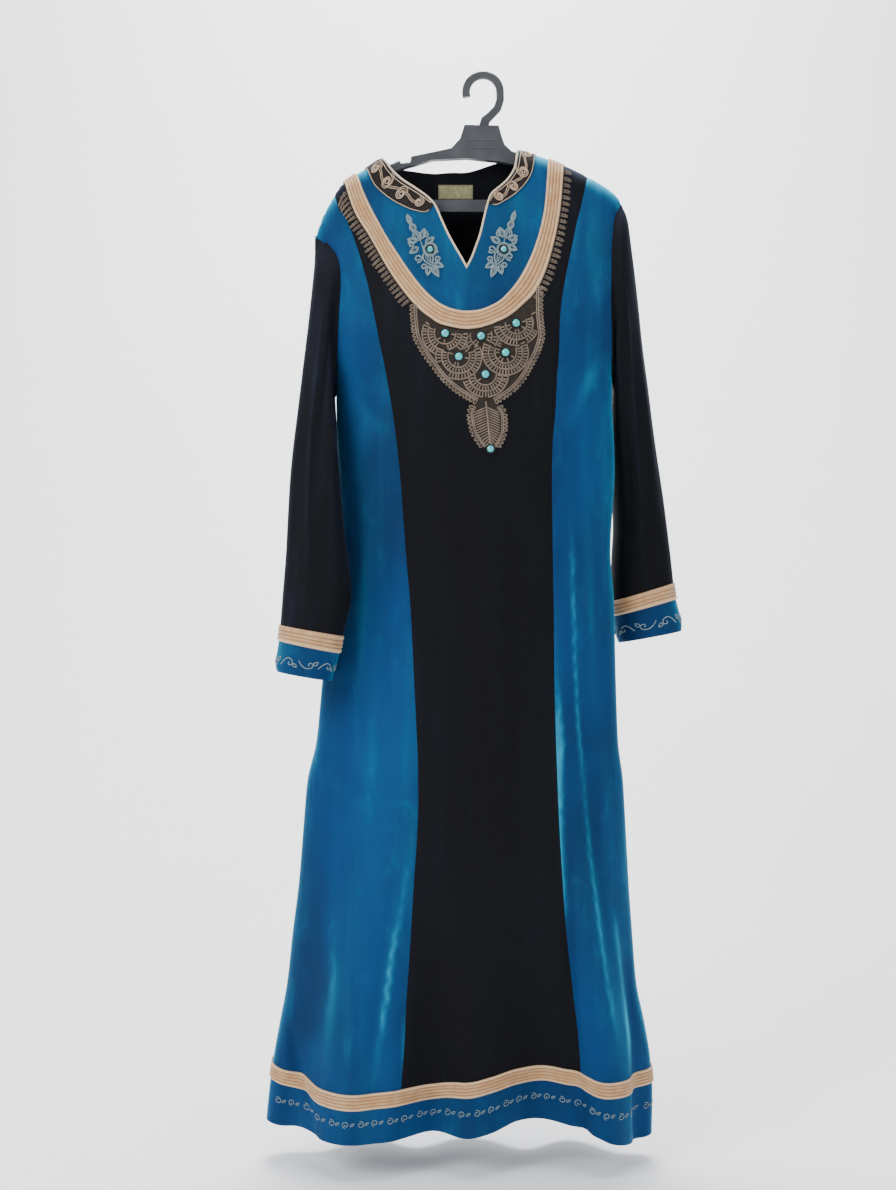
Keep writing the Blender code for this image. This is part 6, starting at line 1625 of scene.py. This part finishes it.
def build_materials():
    """The procedural materials of all pieces and of the carried-over nodes."""
    c, t, h = cloth(), trim(), bpy.context.scene.kaftan_hanger
    velvet("Blue velvet", tuple(c.blue), tuple(c.blue_light), 0.42, tuple(c.blue_light), 0.95)
    velvet("Black velvet", tuple(c.black), tuple(c.black_light), 0.22, tuple(c.black_light), 0.4)
    twisted("Braid", tuple(t.peach), tuple(t.peach_light), 0.0024, 1.0, cords=t.cords)
    twisted("Piping", tuple(t.cream), tuple(t.peach_light), 0.003, 1.0)
    twisted("Pendant thread", tuple(t.brown), tuple(t.brown_light), 0.0022, 1.0, 0.7)
    twisted("Pendant cord", tuple(v * 1.15 for v in t.brown), tuple(t.brown_light), 0.0024, 1.0, 0.7)
    twisted("Soutache", tuple(t.soutache), tuple(t.peach_light), 0.002, 1.0, 0.7)
    twisted("Silver thread", tuple(t.silver), tuple(min(1, v * 1.25) for v in t.silver), 0.0016, 1.0, 0.42)
    for name, tone, rough in (("Collar cloth", tuple(t.collar), 0.85),
                              ("Pendant ground", tuple(v * 0.2 for v in t.brown), 0.85)):
        looks = Looks(name, rough, Sheen_Weight=0.15, Specular_IOR_Level=0.2)
        worn = looks.band(looks.noise(160.0, (1, 1, 1), 4.0), 0.35, 0.7)
        looks.done(looks.mix(worn, tuple(v * 0.6 for v in tone), tone),
                   looks.bump(looks.noise(700.0), 0.4, 0.0006))
    looks = Looks("Woven label", 0.7, Sheen_Weight=0.3)
    threads = looks.add("ShaderNodeTexWave", {"Vector": looks.place(), "Scale": 420.0, "Distortion": 0.6},
                        bands_direction="Z")
    cross = looks.add("ShaderNodeTexWave", {"Vector": looks.place(), "Scale": 520.0, "Distortion": 0.4},
                      bands_direction="X")
    weave = looks.sums("MULTIPLY", threads.outputs["Fac"], cross.outputs["Fac"])
    patch = looks.mix(looks.band(looks.noise(240.0), 0.4, 0.65), tuple(v * 0.55 for v in t.label),
                      tuple(t.label))
    thread = looks.add("ShaderNodeUVMap", uv_map="thread").outputs["UV"]
    parts = looks.add("ShaderNodeSeparateXYZ", {"Vector": thread})
    sides = [looks.band(looks.sums("ABSOLUTE", looks.sums("SUBTRACT", parts.outputs[k])), low, low + 0.02)
             for k, low in (("X", 0.455), ("Y", 0.39))]
    edge = looks.sums("MAXIMUM", *sides)
    patch = looks.mix(edge, patch, tuple(v * 0.4 for v in t.label))
    looks.done(looks.mix(looks.sums("MULTIPLY", weave, 0.5), patch,
                         tuple(min(1, v * 1.3) for v in t.label)),
               looks.bump(weave, 0.5, 0.0005))
    looks = Looks("Turquoise", 0.08, Specular_IOR_Level=0.75, Coat_Weight=0.6, Coat_Roughness=0.04)
    veins = looks.band(looks.noise(260.0, (1, 1, 1), 4.0, 0.6, 0.8), 0.35, 0.66)
    # Painted shade: the bead darkens towards its rim, where its surface is seen at a slant.
    facing = looks.add("ShaderNodeLayerWeight", {"Blend": 0.55}).outputs["Facing"]
    tone = looks.mix(veins, tuple(v * 0.75 for v in t.bead), tuple(min(1, v * 1.25) for v in t.bead))
    looks.done(looks.mix(looks.band(facing, 0.25, 0.95), tone, tuple(v * 0.12 for v in t.bead)))
    looks = Looks("Charcoal plastic", h.rough, Specular_IOR_Level=0.5)
    scuff = looks.band(looks.noise(38.0, (1, 1, 1), 5.0, 0.7), 0.35, 0.75)
    looks.done(looks.mix(scuff, tuple(v * 0.85 for v in h.plastic), tuple(v * 1.25 for v in h.plastic)),
               looks.bump(looks.noise(1300.0, (1, 1, 1), 2.0), 0.12, 0.0004),
               looks.band(scuff, 0, 1, h.rough * 0.85, h.rough * 1.25))
    looks = Looks("Backdrop", 0.9, Specular_IOR_Level=0.1)
    pale = tuple(bpy.context.scene.kaftan_stage.pale)
    looks.done(looks.mix(looks.band(looks.noise(1.2), 0.3, 0.7), tuple(v * 0.97 for v in pale), pale),
               looks.bump(looks.noise(300.0), 0.04, 0.0005))


def build_stage():
    """The pale floor that curves up into a backdrop, the soft lights and the camera."""
    s = bpy.context.scene.kaftan_stage
    flat, bend, wide, front, top = 0.3, 2.6, 5.0, -4.0, 5.0
    profile = [(front, 0.0), (flat, 0.0)]
    profile += [(flat + bend * math.sin(a), bend - bend * math.cos(a))
                for a in np.linspace(0.05, math.pi / 2, 40)]
    profile += [(flat + bend, top)]
    verts = [(x, y, s.floor + z) for y, z in profile for x in (-wide, wide)]
    faces = [(2 * k, 2 * k + 1, 2 * k + 3, 2 * k + 2) for k in range(len(profile) - 1)]
    mesh = bpy.data.meshes.new("Backdrop")
    mesh.from_pydata(verts, [], faces)
    mesh.shade_smooth()
    floor = bpy.data.objects.new("Backdrop", mesh)
    floor.data.materials.append(bpy.data.materials["Backdrop"])
    bpy.context.collection.objects.link(floor)
    middle, behind = (0, 0, -0.75), (s.side, 2.9, s.high)
    lamps = (("Soft key", "SQUARE", (-2.3, -2.3, 1.0), middle, 2.0, 122.0),
             ("Soft fill", "SQUARE", (2.5, -2.4, 0.2), middle, 2.4, 30.0),
             ("Soft top", "SQUARE", (0.1, -0.2, 2.2), middle, 1.8, 72.0),
             ("Backdrop glow", "DISK", (s.side, 0.9, 2.4), behind, 1.6, 215.0))
    for name, shape, place, target, size, power in lamps:
        data = bpy.data.lights.new(name, "AREA")
        data.shape, data.size, data.energy = shape, size, power
        lamp = bpy.data.objects.new(name, data)
        lamp.location = place
        lamp.visible_camera = False
        lamp.rotation_euler = (Vector(target) - Vector(place)).to_track_quat("-Z", "Y").to_euler()
        bpy.context.collection.objects.link(lamp)
    world = bpy.data.worlds.new("Studio")
    world.use_nodes = True
    world.node_tree.nodes["Background"].inputs["Color"].default_value = (0.9, 0.94, 1.0, 1)
    world.node_tree.nodes["Background"].inputs["Strength"].default_value = 0.44
    bpy.context.scene.world = world
    data = bpy.data.cameras.new("Camera")
    data.sensor_fit, data.sensor_height, data.lens = "VERTICAL", 24, s.lens
    camera = bpy.data.objects.new("Camera", data)
    camera.location, camera.rotation_euler = (s.side, -s.away, s.high), (math.pi / 2, 0, 0)
    bpy.context.collection.objects.link(camera)
    bpy.context.scene.camera = camera


def paint(node, material):
    """Gives a carried-over node its finer material."""
    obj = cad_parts[node]
    obj.data.materials.clear()
    obj.data.materials.append(bpy.data.materials[material])


def build_hanger():
    """The hanger's moulding with rounded edges, and the raised rim of its bare plate."""
    h = bpy.context.scene.kaftan_hanger
    paint("hanger", "Charcoal plastic")
    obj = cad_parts["hanger"]
    edge = obj.modifiers.new("edge", "BEVEL")
    edge.width, edge.segments, edge.limit_method, edge.angle_limit = h.round, 3, "ANGLE", math.radians(30)
    rim_line = []
    left, right, top, low, corner = -0.0245, 0.02, -0.0885, -0.1005, 0.003
    for cx, cz, start in ((right - corner, top - corner, 0), (left + corner, top - corner, 90),
                          (left + corner, low + corner, 180), (right - corner, low + corner, 270)):
        for k in range(6):
            a = math.radians(start + 18 * k)
            rim_line.append((Vector((cx + corner * math.cos(a), -0.006, cz + corner * math.sin(a))),
                             Vector((0, -1, 0))))
    threads = Threads(sides=8)
    threads.lay(rim_line, 0.0007, closed=True)
    threads.make("hanger_plate_rim", "Charcoal plastic", "black_plastic")


class KAFTAN_OT_materials(bpy.types.Operator):
    """Makes the materials of the velvet, threads, beads, label, hanger and backdrop"""
    bl_idname = "kaftan.materials"
    bl_label = "Materials"

    def execute(self, context):
        build_materials()
        return {"FINISHED"}


class KAFTAN_OT_front(bpy.types.Operator):
    """Sews the front: yoke, centre, two gores and the hem band"""
    bl_idname = "kaftan.front"
    bl_label = "Front panels"

    def execute(self, context):
        build_body(FRONT)
        return {"FINISHED"}


class KAFTAN_OT_back(bpy.types.Operator):
    """Sews the back: centre, two gores and the hem band"""
    bl_idname = "kaftan.back"
    bl_label = "Back panels"

    def execute(self, context):
        build_body(BACK)
        return {"FINISHED"}


class KAFTAN_OT_sleeves(bpy.types.Operator):
    """Sets in both sleeves with their cuffs"""
    bl_idname = "kaftan.sleeves"
    bl_label = "Sleeves and cuffs"

    def execute(self, context):
        for edge in ("left", "right"):
            build_sleeve(edge)
        return {"FINISHED"}


class KAFTAN_OT_braids(bpy.types.Operator):
    """Lays the corded braids on the yoke, the cuffs and the hem"""
    bl_idname = "kaftan.braids"
    bl_label = "Braids"

    def execute(self, context):
        build_braids()
        return {"FINISHED"}


class KAFTAN_OT_piping(bpy.types.Operator):
    """Lays the round piping along the front neckline"""
    bl_idname = "kaftan.piping"
    bl_label = "Neck piping"

    def execute(self, context):
        build_piping()
        return {"FINISHED"}


class KAFTAN_OT_collar(bpy.types.Operator):
    """Lays the collar bands with their scrolls"""
    bl_idname = "kaftan.collar"
    bl_label = "Collar bands"

    def execute(self, context):
        build_collar()
        return {"FINISHED"}


class KAFTAN_OT_ticks(bpy.types.Operator):
    """Sews the rows of ticks beside the yoke braid"""
    bl_idname = "kaftan.ticks"
    bl_label = "Tick trims"

    def execute(self, context):
        build_ticks()
        return {"FINISHED"}


class KAFTAN_OT_pendant(bpy.types.Operator):
    """Sews the pendant's ground, fans, cords, picots and leaf"""
    bl_idname = "kaftan.pendant"
    bl_label = "Pendant applique"

    def execute(self, context):
        build_pendant()
        return {"FINISHED"}


class KAFTAN_OT_beads(bpy.types.Operator):
    """Sets the cut beads"""
    bl_idname = "kaftan.beads"
    bl_label = "Beads"

    def execute(self, context):
        build_beads()
        return {"FINISHED"}


class KAFTAN_OT_motifs(bpy.types.Operator):
    """Stitches the two arabesques of the yoke"""
    bl_idname = "kaftan.motifs"
    bl_label = "Yoke motifs"

    def execute(self, context):
        build_motifs()
        return {"FINISHED"}


class KAFTAN_OT_hem_scroll(bpy.types.Operator):
    """Stitches the running scroll along the hem band"""
    bl_idname = "kaftan.hem_scroll"
    bl_label = "Hem scroll"

    def execute(self, context):
        build_hem_chain()
        return {"FINISHED"}


class KAFTAN_OT_cuff_scroll(bpy.types.Operator):
    """Stitches the running scroll round each cuff"""
    bl_idname = "kaftan.cuff_scroll"
    bl_label = "Cuff scrolls"

    def execute(self, context):
        build_cuff_scroll()
        return {"FINISHED"}


class KAFTAN_OT_label(bpy.types.Operator):
    """Sews the bare woven label inside the back of the neck"""
    bl_idname = "kaftan.label"
    bl_label = "Neck label"

    def execute(self, context):
        build_label()
        return {"FINISHED"}


class KAFTAN_OT_hanger(bpy.types.Operator):
    """Gives the moulded hanger its rounded edges and its bare plate's rim"""
    bl_idname = "kaftan.hanger"
    bl_label = "Hanger"

    def execute(self, context):
        build_hanger()
        return {"FINISHED"}


class KAFTAN_OT_cuts(bpy.types.Operator):
    """Does nothing: it states no flat cut of any cloth piece"""
    bl_idname = "kaftan.cuts"
    bl_label = "Cuts"

    def execute(self, context):
        return {"FINISHED"}


class KAFTAN_OT_stage(bpy.types.Operator):
    """Sets up the pale floor, the soft light and the camera"""
    bl_idname = "kaftan.stage"
    bl_label = "Stage"

    def execute(self, context):
        build_stage()
        return {"FINISHED"}


STEPS = (KAFTAN_OT_materials, KAFTAN_OT_front, KAFTAN_OT_back, KAFTAN_OT_sleeves, KAFTAN_OT_braids,
         KAFTAN_OT_piping, KAFTAN_OT_collar, KAFTAN_OT_ticks, KAFTAN_OT_pendant, KAFTAN_OT_beads,
         KAFTAN_OT_motifs,
         KAFTAN_OT_hem_scroll, KAFTAN_OT_cuff_scroll, KAFTAN_OT_label, KAFTAN_OT_hanger, KAFTAN_OT_cuts,
         KAFTAN_OT_stage)


class KAFTAN_PT_panel(bpy.types.Panel):
    """The kaftan's sizes, colours and steps"""
    bl_label = "Kaftan"
    bl_idname = "KAFTAN_PT_panel"
    bl_space_type = "VIEW_3D"
    bl_region_type = "UI"
    bl_category = "Kaftan"

    def draw(self, context):
        for group in (context.scene.kaftan_cloth, context.scene.kaftan_trim, context.scene.kaftan_hanger,
                      context.scene.kaftan_stage):
            box = self.layout.box()
            for key in group.bl_rna.properties.keys():
                if key not in ("rna_type", "name"):
                    box.prop(group, key)
        for step in STEPS:
            self.layout.operator(step.bl_idname)


GROUPS = {"kaftan_cloth": KaftanCloth, "kaftan_trim": KaftanTrim, "kaftan_hanger": KaftanHanger,
          "kaftan_stage": KaftanStage}


def register():
    for group in GROUPS.values():
        bpy.utils.register_class(group)
    for name, group in GROUPS.items():
        setattr(bpy.types.Scene, name, PointerProperty(type=group))
    for step in (*STEPS, KAFTAN_PT_panel):
        bpy.utils.register_class(step)


def unregister():
    for step in (KAFTAN_PT_panel, *reversed(STEPS)):
        bpy.utils.unregister_class(step)
    for name, group in GROUPS.items():
        delattr(bpy.types.Scene, name)
        bpy.utils.unregister_class(group)


def main():
    register()
    for step in STEPS:
        group, name = step.bl_idname.split(".")
        getattr(getattr(bpy.ops, group), name)()


if __name__ == "__main__":
    main()
